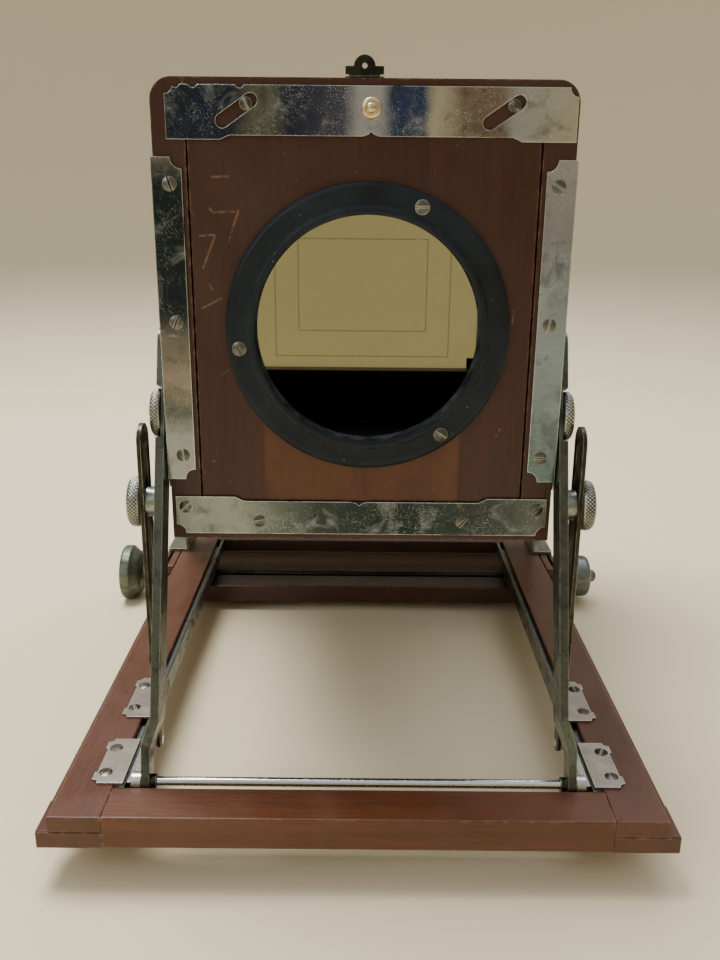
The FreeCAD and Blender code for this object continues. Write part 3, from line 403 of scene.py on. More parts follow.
def aged_metal(
    name,
    base,
    stain,
    rough=0.3,
    share=0.5,
    worn=(0.75, 0.74, 0.68),
    wear=0.8,
    bumps=0.00005,
    knurled=False,
):
    """Bare or plated metal, stained in patches, with rubbed edges that are partly wear and partly
    painted highlights, and painted shade in its knurl valleys.
    """
    made = Finish(name, metallic=1.0)
    cloud = made.noise(60, 6, 0.65, warp=0.5)
    stained = made.band(cloud, 0.62 - share * 0.3, 0.78 - share * 0.28)
    colour = made.mixed(made.both(stained, 0.85), base, stain)
    mottle = made.band(made.noise(700, 3, 0.7), 0.5, 0.7)
    colour = made.mixed(made.both(mottle, 0.35), colour, tuple(c * 0.45 for c in stain))
    # rubbed edges: wear, and also painted highlights that stand in for the glint on knurl crests
    rubbed = made.both(made.edges(0.0006, 0.01, 0.14), made.band(made.noise(170, 3), 0.36, 0.52))
    colour = made.mixed(made.both(rubbed, wear), colour, worn)
    # painted shade: knurl valleys darkened where shadow would fall
    if knurled:
        valley = made.node("ShaderNodeAttribute", attribute_name="valley").outputs["Fac"]
        colour = made.mixed(made.band(valley, 0.5, 0.8), colour, tuple(c * 0.3 for c in stain))
    made.colour(colour)
    made.roughness(made.number(made.either(stained, mottle), rough, rough + 0.28))
    made.relief([(made.noise(500, 4, 0.6), bumps)], 0.00025)
    return made.material


def black_paint(name, base, rough, dust=0.5, bevel=0.0003):
    """Black paint or lacquer with dust specks, soft scuffs and greyed edges."""
    made = Finish(name, Specular_IOR_Level=0.22)
    cloud = made.noise(40, 5, 0.6)
    colour = made.mixed(made.band(cloud, 0.4, 0.7), base, tuple(c * 2.1 for c in base))
    specks = made.band(made.cells(300), 0.085, 0.04)
    specks = made.both(specks, made.band(made.noise(60, 2), 0.5, 0.6))
    colour = made.mixed(made.both(specks, dust), colour, (0.45, 0.47, 0.46))
    rubbed = made.both(made.edges(0.0007, 0.01, 0.2), made.band(made.noise(150, 4), 0.42, 0.6))
    colour = made.mixed(made.both(rubbed, 0.6), colour, (0.16, 0.18, 0.19))
    made.colour(colour)
    made.roughness(made.number(cloud, rough, rough + 0.2))
    made.relief([(made.noise(700, 3, 0.6), 0.00004)], bevel)
    return made.material


def leather(name):
    """Black pebbled bellows cloth, greyed along its folds."""
    made = Finish(name, Sheen_Weight=0.15, Specular_IOR_Level=0.35)
    pebble = made.cells(900)
    cloud = made.noise(30, 4, 0.6)
    colour = made.mixed(made.band(cloud, 0.4, 0.75), (0.011, 0.011, 0.012), (0.028, 0.027, 0.026))
    rubbed = made.both(made.edges(0.0012, 0.05, 0.35), made.band(made.noise(130, 4), 0.4, 0.62))
    colour = made.mixed(made.both(rubbed, 0.5), colour, (0.075, 0.068, 0.06))
    made.colour(colour)
    made.roughness(made.number(cloud, 0.55, 0.78))
    made.relief([(pebble, 0.00025), (made.noise(90, 3), 0.0006)], 0.0004)
    return made.material


def glass_screen(name, centre):
    """Ground glass: frosted, yellowed, ruled with two pencil frames, and glowing a little with
    painted light.
    """
    made = Finish(name, roughness=0.55, Transmission_Weight=0.25, IOR=1.45)
    split = made.node("ShaderNodeSeparateXYZ", {0: made.place})
    across = made.math("ABSOLUTE", made.math("SUBTRACT", split.outputs["X"], centre.x))
    up = made.math("ABSOLUTE", made.math("SUBTRACT", split.outputs["Z"], centre.z))
    ruled = None
    for wide, tall in PENCIL_FRAMES:
        beyond = made.either(
            made.math("SUBTRACT", across, wide * MM), made.math("SUBTRACT", up, tall * MM)
        )
        line = made.band(made.math("ABSOLUTE", beyond), 0.42 * MM, 0.2 * MM)
        ruled = line if ruled is None else made.either(ruled, line)
    cloud = made.noise(12, 4, 0.6)
    colour = made.mixed(cloud, (0.52, 0.45, 0.19), (0.6, 0.53, 0.25))
    fog = made.band(made.noise(500, 2), 0.6, 0.75)
    colour = made.mixed(made.both(fog, 0.25), colour, (0.66, 0.62, 0.42))
    broken = made.band(made.noise(220, 3), 0.25, 0.45)
    colour = made.mixed(made.both(made.both(ruled, broken), 0.62), colour, (0.13, 0.11, 0.05))
    made.colour(colour)
    # painted light: the glass glows with its own colour, standing in for light that comes through
    # from behind
    made.feed(made.surface.inputs["Emission Color"], colour)
    made.surface.inputs["Emission Strength"].default_value = 0.32
    made.relief([(made.noise(2500, 2), 0.00002)], 0.0002)
    return made.material


# ---------------------------------------------------------------- mesh building


def new_piece(name, mesh, material, body, smooth_angle=35, replaced=()):
    """A finished object from a bmesh: shaded, given its material, and riding on its body."""
    bmesh.ops.recalc_face_normals(mesh, faces=mesh.faces)
    data = bpy.data.meshes.new(name)
    for edge in mesh.edges:
        sharp = len(edge.link_faces) == 2 and edge.calc_face_angle(0) > math.radians(smooth_angle)
        edge.smooth = not sharp
    for face in mesh.faces:
        face.smooth = True
    mesh.to_mesh(data)
    mesh.free()
    piece = bpy.data.objects.new(name, data)
    bpy.context.scene.collection.objects.link(piece)
    data.materials.append(material)
    if body:
        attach(piece, body)
    if replaced:
        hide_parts(*replaced)
    return piece


def axis_frame(centre, axis):
    """Matrix whose Z points along the axis, at the centre."""
    turn = Vector(axis).normalized().to_track_quat("Z", "Y").to_matrix().to_4x4()
    return Matrix.Translation(centre) @ turn


def add_lathe(mesh, outline, centre, axis, segments=96, bumps=None):
    """A turned solid from (along, radius) points, closed on the axis or to itself."""
    place = axis_frame(centre, axis)
    valleys = mesh.verts.layers.float.new("valley") if bumps else None
    rings = []
    for along, radius in outline:
        if radius < 1e-7:
            rings.append([mesh.verts.new(place @ Vector((0, 0, along)))])
            continue
        ring = []
        for number in range(segments):
            angle = 2 * math.pi * number / segments
            added, valley = bumps(angle, along) if bumps else (0.0, 0.0)
            reach = radius + added
            point = Vector((reach * math.cos(angle), reach * math.sin(angle), along))
            ring.append(mesh.verts.new(place @ point))
            if bumps:
                ring[-1][valleys] = valley
        rings.append(ring)
    hollow = len(rings[0]) > 1
    pairs = list(zip(rings, rings[1:] + (rings[:1] if hollow else [])))
    for near, far in pairs[: len(pairs) if hollow else len(rings) - 1]:
        join_rings(mesh, near, far)


def join_rings(mesh, near, far):
    """Faces between two closed rings; either may be a single point."""
    count = max(len(near), len(far))
    for number in range(count):
        after = (number + 1) % count
        if len(near) == 1:
            mesh.faces.new((near[0], far[number], far[after]))
        elif len(far) == 1:
            mesh.faces.new((near[number], far[0], near[after]))
        else:
            mesh.faces.new((near[number], far[number], far[after], near[after]))


def scaled(outline):
    """(along, radius) points in millimetres, as metres."""
    return [(along * MM, radius * MM) for along, radius in outline]


def arc_points(along, radius, reach, first, last, steps=5):
    """Points on a small quarter round, with its centre at (along, radius); angles in degrees."""
    points = []
    for number in range(steps + 1):
        angle = math.radians(first + (last - first) * number / steps)
        points.append((along + reach * math.cos(angle), radius + reach * math.sin(angle)))
    return points


def add_screw(mesh, centre, outward, radius, slot_turn, proud):
    """Domed slotted screw head, standing on the face that it holds down."""
    place = axis_frame(centre, outward) @ Matrix.Rotation(slot_turn, 4, "Z")
    gap, floor, segments, rings = radius * 0.13, -0.15 * MM, 14, 4
    for side in (-1, 1):
        start = math.asin(gap / radius)
        layers = []
        for level in range(rings + 1):
            share = 1 - level / (rings + 0.5)
            rise = proud * (1 - share**2.4)
            layer = []
            for number in range(segments + 1):
                angle = start + (math.pi - 2 * start) * number / segments
                x = radius * share * math.cos(angle)
                y = max(gap, radius * share * math.sin(angle))
                layer.append(mesh.verts.new(place @ Vector((x, side * y, rise))))
            layers.append(layer)
        base = []
        for number in range(segments + 1):
            angle = start + (math.pi - 2 * start) * number / segments
            y = max(gap, radius * math.sin(angle))
            point = Vector((radius * math.cos(angle), side * y, floor))
            base.append(mesh.verts.new(place @ point))
        for near, far in zip([base] + layers, layers):
            for number in range(segments):
                mesh.faces.new((near[number], near[number + 1], far[number + 1], far[number]))
        mesh.faces.new(layers[-1])
        stack = [base] + layers
        mesh.faces.new([layer[0] for layer in stack] + [layer[-1] for layer in stack[::-1]])
        mesh.faces.new(base[::-1])
    wide, top = radius * 0.985, floor + 0.1 * MM
    seat = [(floor, 0), (floor, wide), (top, wide), (top, 0)]
    add_lathe(mesh, seat, centre, outward, 32)


def screws(name, node, outward_of, body, material, seed):
    """Domed heads for every screw in a CAD group, with their slots at uneven angles."""
    chance = random.Random(seed)
    mesh = bmesh.new()
    for lo, hi in loose_boxes(node):
        centre = (lo + hi) / 2
        outward = Vector(outward_of(centre))
        axis = max(range(3), key=lambda i: abs(outward[i]))
        across = [i for i in range(3) if i != axis][0]
        radius = (hi[across] - lo[across]) / 2
        face = hi[axis] if outward[axis] > 0 else lo[axis]
        centre[axis] = face - outward[axis] * 0.75 * MM
        add_screw(mesh, centre, outward, radius, chance.uniform(0, math.pi), 0.6 * MM)
    return new_piece(name, mesh, material, body, 40, (node,))


def diamond_bumps(teeth, pitch, height, first, last):
    """(added radius, depth of its valleys from 0 to 1) of a diamond knurl on part of the axis."""

    def wave(x):
        return 1 - abs(2 * (x % 1.0) - 1)

    def bumps(angle, along):
        if not first < along < last:
            return 0.0, 0.0
        turn = angle * teeth / (2 * math.pi)
        step = along / pitch
        share = min(wave(turn + step), wave(turn - step))
        return height * share, 1 - share

    return bumps


def knurled_nut(name, node, axis, body, material):
    """Milled thumb nut in the place of its CAD drum: chamfered, knurled rim and a low dome."""
    lo, hi = Vector(low(node)), Vector(high(node))
    axis = Vector(axis)
    number = max(range(3), key=lambda i: abs(axis[i]))
    across = [i for i in range(3) if i != number][0]
    radius = (hi[across] - lo[across]) / 2
    long = hi[number] - lo[number]
    start = (lo + hi) / 2
    start[number] = lo[number] if axis[number] > 0 else hi[number]
    rim = long - 1.2 * MM if long > 5 * MM and radius > 8 * MM else long - 0.8 * MM
    first, last = 0.7 * MM, rim - 0.7 * MM
    knurl, pitch, barrel = 0.55 * MM, 1.6 * MM, 0.4 * MM
    core = radius - knurl
    outline = [(0, 0), (0, core - barrel - 0.3 * MM), (0.35 * MM, core - barrel)]
    rows = max(8, int((last - first) / (0.28 * MM)))
    for row in range(rows + 1):
        share = row / rows
        outline.append((first + (last - first) * share, core - barrel * (2 * share - 1) ** 2))
    outline += [(rim - 0.3 * MM, core - barrel - 0.1 * MM), (rim, core - barrel - 0.5 * MM)]
    outline += [(rim - 0.25 * MM, core - 1.9 * MM), (rim - 0.1 * MM, core - 2.6 * MM)]
    crown = long - rim + 0.05 * MM
    for step in range(1, 6):
        along = rim - 0.1 * MM + crown * math.sin(step / 6 * math.pi / 2)
        outline.append((along, (core - 2.6 * MM) * (1 - step / 6)))
    outline.append((long, 0))
    teeth = max(18, round(2 * math.pi * core / pitch))
    bumps = diamond_bumps(teeth, pitch, knurl, first - 0.01 * MM, last + 0.01 * MM)
    mesh = bmesh.new()
    add_lathe(mesh, outline, start, axis, teeth * 4, bumps)
    return new_piece(name, mesh, material, body, 50, (node,))


# ---------------------------------------------------------------- the parts


def lens_ring(material):
    """Turned lens flange with a stepped face and a threaded bore."""
    lo, hi = Vector(low("ring_flange")), Vector(high("ring_flange"))
    outer = (hi.x - lo.x) / 2 / MM
    deep = (hi.y - lo.y) / MM
    bore = next(m["dims"]["r_mm"] for m in frame["record"]["mounts"] if m["name"] == "lens_flange")
    outline = [(1.4, outer - 2.0), (1.75, outer - 0.9), (2.5, outer - 0.15), (3.2, outer)]
    outline += [(5.4, outer), (5.4, bore + 1.1), (deep, bore + 1.1), (deep, bore + 0.1)]
    pitch = 0.8
    turns = int((deep - 1.4) / pitch)
    for number in range(turns):
        here = deep - 0.3 - number * pitch
        outline += [(here, bore), (here - pitch * 0.5, bore + 0.5)]
    outline += [(0.8, bore), (0.25, bore + 0.3), (0, bore + 0.8), (0, bore + 2.5)]
    outline += [(0.2, bore + 2.9), (1.1, bore + 3.2), (1.4, bore + 3.6)]
    outline += [(1.55, bore + 5.0), (1.55, outer - 4.0)]
    centre = (lo + hi) / 2
    centre.y = lo.y
    mesh = bmesh.new()
    add_lathe(mesh, scaled(outline), centre, (0, 1, 0), 192)
    replaced = ("ring_flange",)
    return new_piece("lens_ring", mesh, material, "front_standard", 28, replaced)


def brass_button(material):
    """Turned button of the lock plate: waisted stem, rounded head, small centre boss."""
    lo, hi = Vector(low("lock_button")), Vector(high("lock_button"))
    outline = [(0, 0), (0, 3.1), (0.3, 3.2), (0.7, 2.6), (1.2, 2.3), (1.5, 2.6), (1.8, 3.4)]
    outline += arc_points(2.7, 3.1, 0.8, 150, 20, 7)
    outline += [(3.8, 2.7), (3.75, 2.0), (4.3, 1.7), (4.75, 1.0), (4.9, 0)]
    centre = (lo + hi) / 2
    centre.y = hi.y
    mesh = bmesh.new()
    add_lathe(mesh, scaled(outline), centre, (0, -1, 0), 64)
    return new_piece("brass_button", mesh, material, "lock_slider", 40, ("lock_button",))


def focusing_knob(material):
    """Large turned knob: narrow sleeve, coned back and a thick rim with a shallow dished face."""
    lo, hi = Vector(low("focus_knob")), Vector(high("focus_knob"))
    long, radius = (hi.x - lo.x) / MM, (hi.z - lo.z) / 2 / MM
    outline = [(0.0, 0), (0.0, 5.6), (0.4, 6.0), (12.6, 6.0), (13.2, 7.0), (13.6, 12.6)]
    outline += [(14.6, 14.2), (16.8, 15.6), (18.4, 17.0)]
    outline += arc_points(20.6, radius - 1.5, 1.5, 150, 90, 5)
    outline += arc_points(long - 2.6, radius - 2.2, 2.2, 90, 20, 6)
    outline += [(long - 0.25, radius - 4.4), (long - 0.9, radius - 7), (long - 0.9, 4.2)]
    outline += [(long - 0.3, 3.6), (long, 2.6), (long, 0)]
    centre = (lo + hi) / 2
    centre.x = hi.x
    mesh = bmesh.new()
    add_lathe(mesh, scaled(outline), centre, (-1, 0, 0), 120)
    replaced = ("focus_knob",)
    return new_piece("focusing_knob", mesh, material, "pinion", 35, replaced)


def locking_knob(material):
    """Smaller knob with a milled edge and a rounded end cap."""
    lo, hi = Vector(low("lock_knob")), Vector(high("lock_knob"))
    long, radius = (hi.x - lo.x) / MM, (hi.z - lo.z) / 2 / MM
    outline = [(0, 0), (0, radius - 1.2), (0.6, radius - 0.3)]
    rows = 24
    outline += [(1.0 + 6.4 * row / rows, radius - 0.3) for row in range(rows + 1)]
    outline += arc_points(7.8, radius - 3.3, 3.0, 80, 15, 6)
    outline += [(11.6, radius - 6.2), (12.2, 5.6), (12.5, 4.5), (14.6, 4.1)]
    outline += [(15.8, 3.3), (16.7, 1.9), (long, 0)]
    bumps = diamond_bumps(76, 1.1 * MM, 0.26 * MM, 0.9 * MM, 7.5 * MM)
    centre = (lo + hi) / 2
    centre.x = lo.x
    mesh = bmesh.new()
    add_lathe(mesh, scaled(outline), centre, (1, 0, 0), 304, bumps)
    return new_piece("locking_knob", mesh, material, "lock", 45, ("lock_knob",))


def threaded_bush(material):
    """Flanged tripod bush with a real thread in its blind hole."""
    lo, hi = Vector(low("tripod_bush")), Vector(high("tripod_bush"))
    long = (hi.z - lo.z) / MM
    outline = [(0.15, 5.4), (0, 6.0), (0, 12.7), (0.3, 13.0), (2, 13.0), (2, 8)]
    outline += [(long, 8), (long, 0.5), (14.0, 0.5), (14.0, 4.0)]
    pitch = 1.27
    for number in range(10):
        here = 13.4 - number * pitch
        outline += [(here, 4.0), (here - pitch / 2, 4.75)]
    centre = Vector(((lo.x + hi.x) / 2, (lo.y + hi.y) / 2, lo.z))
    mesh = bmesh.new()
    add_lathe(mesh, scaled(outline), centre, (0, 0, 1), 64)
    return new_piece("threaded_bush", mesh, material, "base", 30, ("tripod_bush",))


# bellows: fold rings from the front frame to the rear frame, in four stretches
BELLOWS_FRONT_HALF = 64.5
BELLOWS_STRETCHES = (
    ("front", "front_standard", "struts", 18.0, 3, True),
    ("upper", "struts", "bed", 84.0, 13, False),
    ("middle", "bed", "base", 98.0, 15, False),
)
PACKED_FOLDS = 16
FOLD_DEPTH = 9.0
CLOTH = 0.9


def bellows_outline(half, mid_z, fold, inset, chance):
    """One ring of the bellows: straight sides, and corners that fold the opposite way."""
    reach = half - inset
    if fold:
        side, near, corner = reach, 12.0, 6.0
    else:
        side, near, corner = reach - FOLD_DEPTH, 14.0, 2.5
    along = reach - near
    points = []
    steps = 5
    quarter = [(along - 2 * along * step / steps, side) for step in range(1, steps)]
    quarter = [(along, side)] + quarter + [(-along, side), (-reach + corner, reach - corner)]
    for turn in range(4):
        for x, z in quarter:
            sag = chance.uniform(-0.22, 0.22)
            x, z = (x, z + sag) if abs(x) < along else (x, z)
            for _ in range(turn):
                x, z = -z, x
            points.append((x * MM, mid_z + z * MM))
    return points


def bellows_places():
    """Y of every fold ring, and the (name, body, body, first ring, last ring, split) stretches."""
    front, rear = low("bellows")[1], high("bellows")[1]
    places = [front]
    stretches = []
    for name, near_body, far_body, long, folds, split in BELLOWS_STRETCHES:
        first = len(places) - 1
        places += [places[first] + long * MM * (n + 1) / folds for n in range(folds)]
        stretches.append((name, near_body, far_body, first, len(places) - 1, split))
    first = len(places) - 1
    packed = rear - places[first]
    places += [places[first] + packed * (n + 1) / PACKED_FOLDS for n in range(PACKED_FOLDS)]
    stretches.append(("packed", "base", "rear_body", first, len(places) - 1, False))
    return places, stretches


def bellows(material):
    """The pleated bellows, built as separate pieces, one stretch after another."""
    places, stretches = bellows_places()
    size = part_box("bellows")
    rear_half = (size[1][0] - size[0][0]) / 2 / MM
    front_mid, rear_mid = middle("bellows_front_frame").z, middle("ground_glass").z
    rings = []
    for number, y in enumerate(places):
        share = (y - places[0]) / (places[-1] - places[0])
        half = BELLOWS_FRONT_HALF + (rear_half - BELLOWS_FRONT_HALF) * share
        mid_z = front_mid + (rear_mid - front_mid) * share
        pair = []
        for inset in (0.0, CLOTH):
            chance = random.Random(number)
            ring = bellows_outline(half, mid_z, number % 2 == 0, inset, chance)
            pair.append([Vector((x, y, z)) for x, z in ring])
        rings.append(pair)
    for name, near_body, far_body, first, last, split in stretches:
        if split:
            cuts = list(range(first, last + 1))
        else:
            cuts = [first, first + 1, last - 1, last]
        for number, (start, end) in enumerate(zip(cuts, cuts[1:])):
            piece = bellows_stretch(f"bellows_{name}_{number}", rings[start : end + 1], material)
            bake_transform(piece)
            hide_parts("bellows")


def bellows_stretch(name, rings, material):
    """A closed tube of cloth between its first and last ring."""
    mesh = bmesh.new()
    outer = [[mesh.verts.new(point) for point in ring[0]] for ring in rings]
    inner = [[mesh.verts.new(point) for point in ring[1]] for ring in rings]
    for skin in (outer, inner):
        for near, far in zip(skin, skin[1:]):
            join_rings(mesh, near, far)
    join_rings(mesh, outer[0], inner[0])
    join_rings(mesh, outer[-1], inner[-1])
    return new_piece(name, mesh, material, None, 20)


LEAF_WIDE = 8.0
LEAF_HALF_THICK = 0.6
LEAF_TIP = 8.0  # how far the tip turns in over the glass frame
LEAF_EDGE = 0.25  # chamfer
LEAF_FOOT = 7.0  # the flat foot ends here, and the bend this much later
LEAF_BEND = 14.0
LEAF_RISE_AFTER = 1.2


def leaf_path(lo, hi):
    """(height above the spring's middle, Y, how far turned in) along one half of a leaf spring."""
    reach = (hi.z - lo.z) / 2 / MM
    foot, top = lo.y / MM + LEAF_HALF_THICK, hi.y / MM - LEAF_HALF_THICK
    path = []
    for height in [0, 3, 6, 7.5] + [9 + 1.2 * step for step in range(11)]:
        share = max(0.0, min(1.0, (height - LEAF_FOOT) / LEAF_BEND))
        bent = share * share * (3 - 2 * share)
        path.append((height, foot + (top - foot - LEAF_RISE_AFTER) * bent, 0.0))
    for height in range(26, 57, 6):
        path.append((height, top - LEAF_RISE_AFTER * (reach - height) / 44, 0.0))
    return path + [(57.6, top, 0.0), (58.4, top, 1.0), (reach - 0.6, top, 1.0), (reach, top, 0.9)]


def leaf_section(near, far):
    """Chamfered outline across a leaf: (x, out of the leaf's face) points."""
    thick, slim = LEAF_HALF_THICK, LEAF_HALF_THICK - LEAF_EDGE
    left, right = near + LEAF_EDGE, far - LEAF_EDGE
    half = [(left, -thick), (right, -thick), (far, -slim), (far, slim)]
    return half + [(right, thick), (left, thick), (near, slim), (near, -slim)]


def add_leaf(mesh, lo, hi, side, up):
    """Half a leaf spring with chamfered edges, and a tip that turns in over the glass frame."""
    middle_z, outer = (lo.z + hi.z) / 2 / MM, hi.x / MM
    path = leaf_path(lo, hi)
    rings = []
    for number, (height, y, turned_in) in enumerate(path):
        before, after = path[max(number - 1, 0)], path[min(number + 1, len(path) - 1)]
        along = Vector((after[0] - before[0], after[1] - before[1])).normalized()
        ring = []
        for x, out in leaf_section(outer - LEAF_WIDE - LEAF_TIP * turned_in, outer):
            z, depth = height - along.y * out, y + along.x * out
            ring.append(mesh.verts.new(Vector((side * x, depth, middle_z + up * z)) * MM))
        rings.append(ring)
    for first, second in zip(rings, rings[1:]):
        join_rings(mesh, first, second)
    mesh.faces.new(rings[0])
    mesh.faces.new(rings[-1])


def leaf_springs(material):
    """The back's leaf springs: flat in the middle, their tips turned in over the ground-glass frame.
    """
    lo, hi = Vector(low("back_springs")), Vector(high("back_springs"))
    for name, up in (("upper", 1), ("lower", -1)):
        mesh = bmesh.new()
        for side in (-1, 1):
            add_leaf(mesh, lo, hi, side, up)
        piece = new_piece(f"{name}_leaves", mesh, material, None, 40)
        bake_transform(piece)
        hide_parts("back_springs")


# ---------------------------------------------------------------- materials on their nodes


def paint(material, *nodes):
    """Gives CAD nodes their finish."""
    for node in nodes:
        data = frame["nodes"][node].data
        if not data.materials:
            data.materials.append(material)
        for number in range(len(data.materials)):
            frame["nodes"][node].material_slots[number].material = material


# pale grain, deep grain and hazed varnish
BED_TONES = ((0.112, 0.038, 0.0185), (0.064, 0.0205, 0.0105), (0.108, 0.046, 0.0275))
FRAME_TONES = ((0.054, 0.0145, 0.0075), (0.03, 0.008, 0.0045), (0.05, 0.0185, 0.012))
WARM_TONES = ((0.14, 0.047, 0.016), (0.064, 0.019, 0.008), (0.12, 0.05, 0.028))
# darker copy of the wood, painted in as shade for parts that sit in shadow under the bed and base
SHADE_PAINTED_TONES = ((0.05, 0.0175, 0.0105), (0.028, 0.01, 0.0065), (0.056, 0.024, 0.016))


def dress_wood():
    bed_side = wood("bed_side_wood", "y", *BED_TONES, 0.6)
    bed_cross = wood("bed_cross_wood", "x", *WARM_TONES, 0.45)
    board = wood("lens_board_wood", "z", *FRAME_TONES, 0.35, 0.8, patch=True)
    stile = wood("stile_wood", "z", *FRAME_TONES, 0.5, 0.3)
    member = wood("member_wood", "x", *FRAME_TONES, 0.45)
    base = wood("base_wood", "y", *BED_TONES, 0.5)
    painted_shade = wood("painted_shade_wood", "x", *SHADE_PAINTED_TONES, 0.3)
    body_x = wood("body_wood_across", "x", *WARM_TONES, 0.35)
    body_z = wood("body_wood_upright", "z", *WARM_TONES, 0.35)
    paint(bed_side, "bed_side_rail_left", "bed_side_rail_right")
    paint(bed_cross, "bed_front_rail")
    paint(board, "lens_board")
    paint(stile, "front_stiles")
    paint(member, "front_top_member", "front_bottom_member")
    # painted shade: these parts get the darker wood because they sit in shadow
    paint(painted_shade, "base_crosses", "tripod_board", "bed_rear_rail")
    paint(base, "base_cheek_left", "base_cheek_right")
    paint(body_x, "rear_top", "rear_bottom", "back_frame", "glass_frame")
    paint(body_z, "rear_sides")


def dress_metal():
    paint(plate("lock_plate_nickel", lock_tones), "lock_plate")
    paint(plate("side_plate_nickel", side_tones, 0.45), "side_plates")
    paint(plate("bottom_plate_nickel", bottom_tones), "bottom_plate")
    paint(plate("cover_nickel", cover_tones, 0.2, 0.34, 0.12), "cover_plates")
    strut = aged_metal(
        "strut_nickel", (0.115, 0.13, 0.115), (0.05, 0.05, 0.04), 0.3, 0.5, (0.5, 0.53, 0.47)
    )
    paint(strut, "strut_left", "strut_right", "pivot_plates", "rail_strips")
    silver = aged_metal("knuckle_nickel", (0.52, 0.54, 0.5), (0.28, 0.27, 0.22), 0.25, 0.3)
    paint(silver, "strut_brackets", "shaft_bearings")
    dull = aged_metal("dull_nickel", (0.27, 0.29, 0.26), (0.11, 0.1, 0.075), 0.3, 0.4)
    paint(dull, "rear_shoes", "clamp_studs")
    rod = aged_metal(
        "rod_chrome", (0.7, 0.73, 0.74), (0.42, 0.42, 0.39), 0.14, 0.1, wear=0.2, bumps=0.00001
    )
    paint(rod, "cross_rod")
    grey = aged_metal("gear_steel", (0.2, 0.2, 0.19), (0.09, 0.075, 0.055), 0.4, 0.5)
    paint(grey, "pinions", "racks")
    dark = aged_metal(
        "dark_brace", (0.05, 0.05, 0.037), (0.026, 0.023, 0.016), 0.32, 0.6, (0.5, 0.5, 0.42)
    )
    paint(dark, "braces", "rod_collars", "latch_tab", "latch_base", "glass_clips", "pinion_shaft")
    washer = aged_metal("brown_washer", (0.13, 0.085, 0.05), (0.06, 0.04, 0.025), 0.55, 0.5)
    paint(washer, "lock_washer")
    black = black_paint("black_frame", (0.009, 0.009, 0.009), 0.6, 0.2)
    paint(black, "bellows_front_frame", "bellows_rear_frame")
    spring = aged_metal("spring_nickel", (0.5, 0.49, 0.45), (0.25, 0.22, 0.17), 0.28, 0.35)
    leaf_springs(spring)


def outward_front(_centre):
    return (0, -1, 0)


def outward_up(_centre):
    return (0, 0, 1)


def outward_side(centre):
    return (1 if centre.x > 0 else -1, 0, 0)


def build_details():
    screw_metal = aged_metal("screw_metal", (0.11, 0.1, 0.085), (0.035, 0.03, 0.02), 0.35, 0.6)
    bright_screw = aged_metal("plate_screw_metal", (0.14, 0.14, 0.125), (0.045, 0.04, 0.032))
    screws("front_screw_heads", "front_screws", outward_front, "front_standard", bright_screw, 3)
    screws("lock_screw_heads", "lock_screws", outward_front, "front_standard", screw_metal, 5)
    screws("cover_screw_heads", "cover_screws", outward_up, "bed", screw_metal, 7)
    screws("bearing_screw_heads", "bearing_screws", outward_side, "base", screw_metal, 9)
    screws("shoe_screw_heads", "shoe_screws", outward_side, "rear_body", screw_metal, 11)
    lens_ring(black_paint("ring_lacquer", (0.006, 0.01, 0.014), 0.3, 0.6))
    brass = aged_metal(
        "old_brass", (0.62, 0.52, 0.3), (0.3, 0.23, 0.1), 0.24, 0.4, (0.85, 0.8, 0.62)
    )
    brass_button(brass)
    threaded_bush(brass)
    knob = aged_metal(
        "oxidised_knob", (0.16, 0.18, 0.145), (0.08, 0.1, 0.08), 0.42, 0.65, (0.42, 0.44, 0.38)
    )
    focusing_knob(knob)
    pale = aged_metal("pale_knob", (0.18, 0.2, 0.185), (0.09, 0.1, 0.085), 0.4, 0.5)
    locking_knob(pale)
    # pale rubbed-edge colour of the milled nuts, which also paints highlights on the knurl crests
    pale_edge = (0.7, 0.7, 0.64)
    milled = aged_metal(
        "milled_nickel", (0.44, 0.46, 0.42), (0.13, 0.12, 0.09), 0.28, 0.4, pale_edge, knurled=True
    )
    for side, sign in (("left", -1), ("right", 1)):
        for nut in ("brace_nut", "tilt_nut"):
            node = f"{nut}_{side}"
            knurled_nut(f"{node}_milled", node, (sign, 0, 0), node, milled)
        node = f"shoe_nut_{side}"
        knurled_nut(f"{node}_milled", node, (0, 0, 1), node, brass)
    bellows(leather("bellows_cloth"))
    paint(glass_screen("ground_glass_screen", middle("ground_glass")), "ground_glass")


# ---------------------------------------------------------------- studio


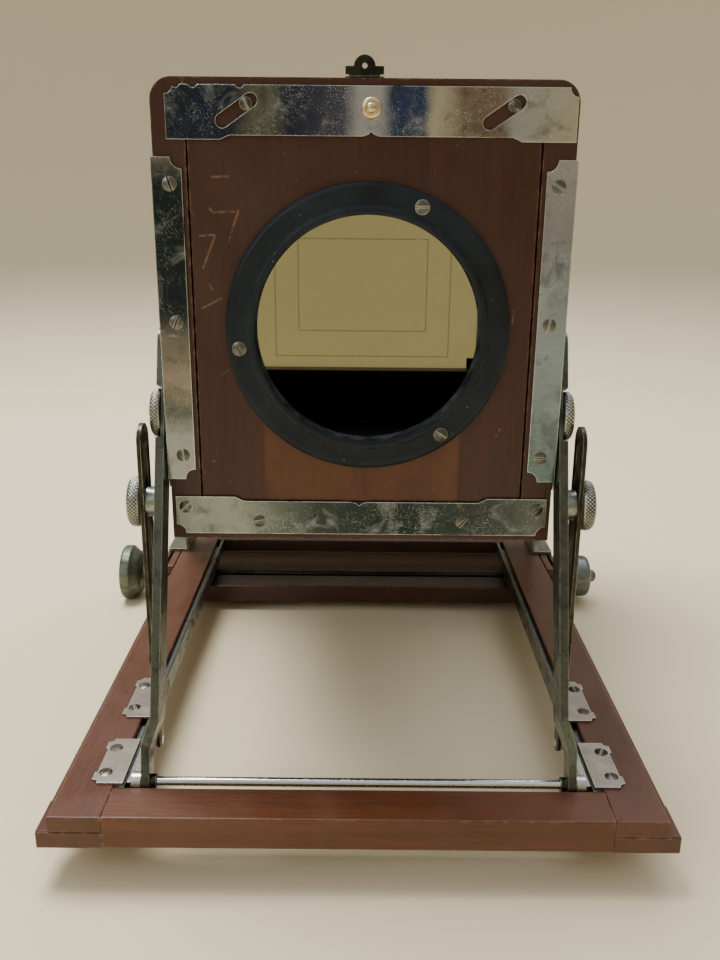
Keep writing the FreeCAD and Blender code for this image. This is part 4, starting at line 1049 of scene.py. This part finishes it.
def studio_floor():
    """One plain pale sweep: a round floor with a wall that curves up all the way round."""
    radius, bend, wall = 5.0, 1.6, 3.4
    path = [(0.0, 0.0), (1.2, 0.0), (radius - bend, 0.0)]
    for step in range(1, 13):
        angle = math.pi / 2 * step / 12
        path.append((radius - bend + bend * math.sin(angle), bend - bend * math.cos(angle)))
    path.append((radius, wall))
    mesh = bmesh.new()
    rings = []
    for reach, z in path:
        turns = [2 * math.pi * n / 96 for n in range(96 if reach else 1)]
        rings.append([mesh.verts.new((reach * math.cos(t), reach * math.sin(t), z)) for t in turns])
    for near, far in zip(rings, rings[1:]):
        join_rings(mesh, near, far)
    data = bpy.data.meshes.new("studio_sweep")
    for face in mesh.faces:
        face.smooth = True
    mesh.to_mesh(data)
    mesh.free()
    sweep = bpy.data.objects.new("studio_sweep", data)
    bpy.context.scene.collection.objects.link(sweep)
    pale = Finish("studio_pale", roughness=0.75)
    pale.surface.inputs["Base Color"].default_value = (0.78, 0.68, 0.47, 1)
    data.materials.append(pale.material)


def soft_light(name, place, target, size, power, tint):
    light = bpy.data.lights.new(name, "AREA")
    light.shape = "RECTANGLE"
    light.size, light.size_y = size
    light.energy = power
    light.color = tint
    lamp = bpy.data.objects.new(name, light)
    lamp.location = place
    lamp.rotation_euler = (Vector(target) - Vector(place)).to_track_quat("-Z", "Y").to_euler()
    bpy.context.scene.collection.objects.link(lamp)


def studio_lights():
    world = bpy.data.worlds.new("studio_air")
    world.use_nodes = True
    background = world.node_tree.nodes["Background"]
    background.inputs["Color"].default_value = (0.92, 0.95, 1.0, 1)
    background.inputs["Strength"].default_value = 0.75
    bpy.context.scene.world = world
    soft_light("key", (-0.45, 0.1, 1.6), (0, -0.1, 0.1), (0.7, 0.7), 34, (1.0, 0.97, 0.92))
    soft_light("top", (0.3, 0.6, 1.8), (0, 0, 0.1), (1.6, 1.0), 12, (1.0, 1.0, 1.0))
    soft_light("fill", (-1.1, -1.5, 1.1), (0, 0, 0.15), (1.0, 1.0), 7, (0.92, 0.96, 1.0))


def photo_camera():
    """Camera in front of the bed, looking slightly down through the front standard."""
    data = bpy.data.cameras.new("camera")
    data.sensor_width = 36.0
    data.lens = 33.75
    camera = bpy.data.objects.new("camera", data)
    pitch, roll = math.radians(17.43), math.radians(0.52)
    camera.location = (-0.0006, -0.6726, 0.2697)
    turn = Matrix.Rotation(math.pi / 2 - pitch, 4, "X") @ Matrix.Rotation(roll, 4, "Z")
    camera.rotation_euler = turn.to_euler()
    bpy.context.scene.collection.objects.link(camera)
    bpy.context.scene.camera = camera


dress_wood()
dress_metal()
build_details()
studio_floor()
studio_lights()
photo_camera()
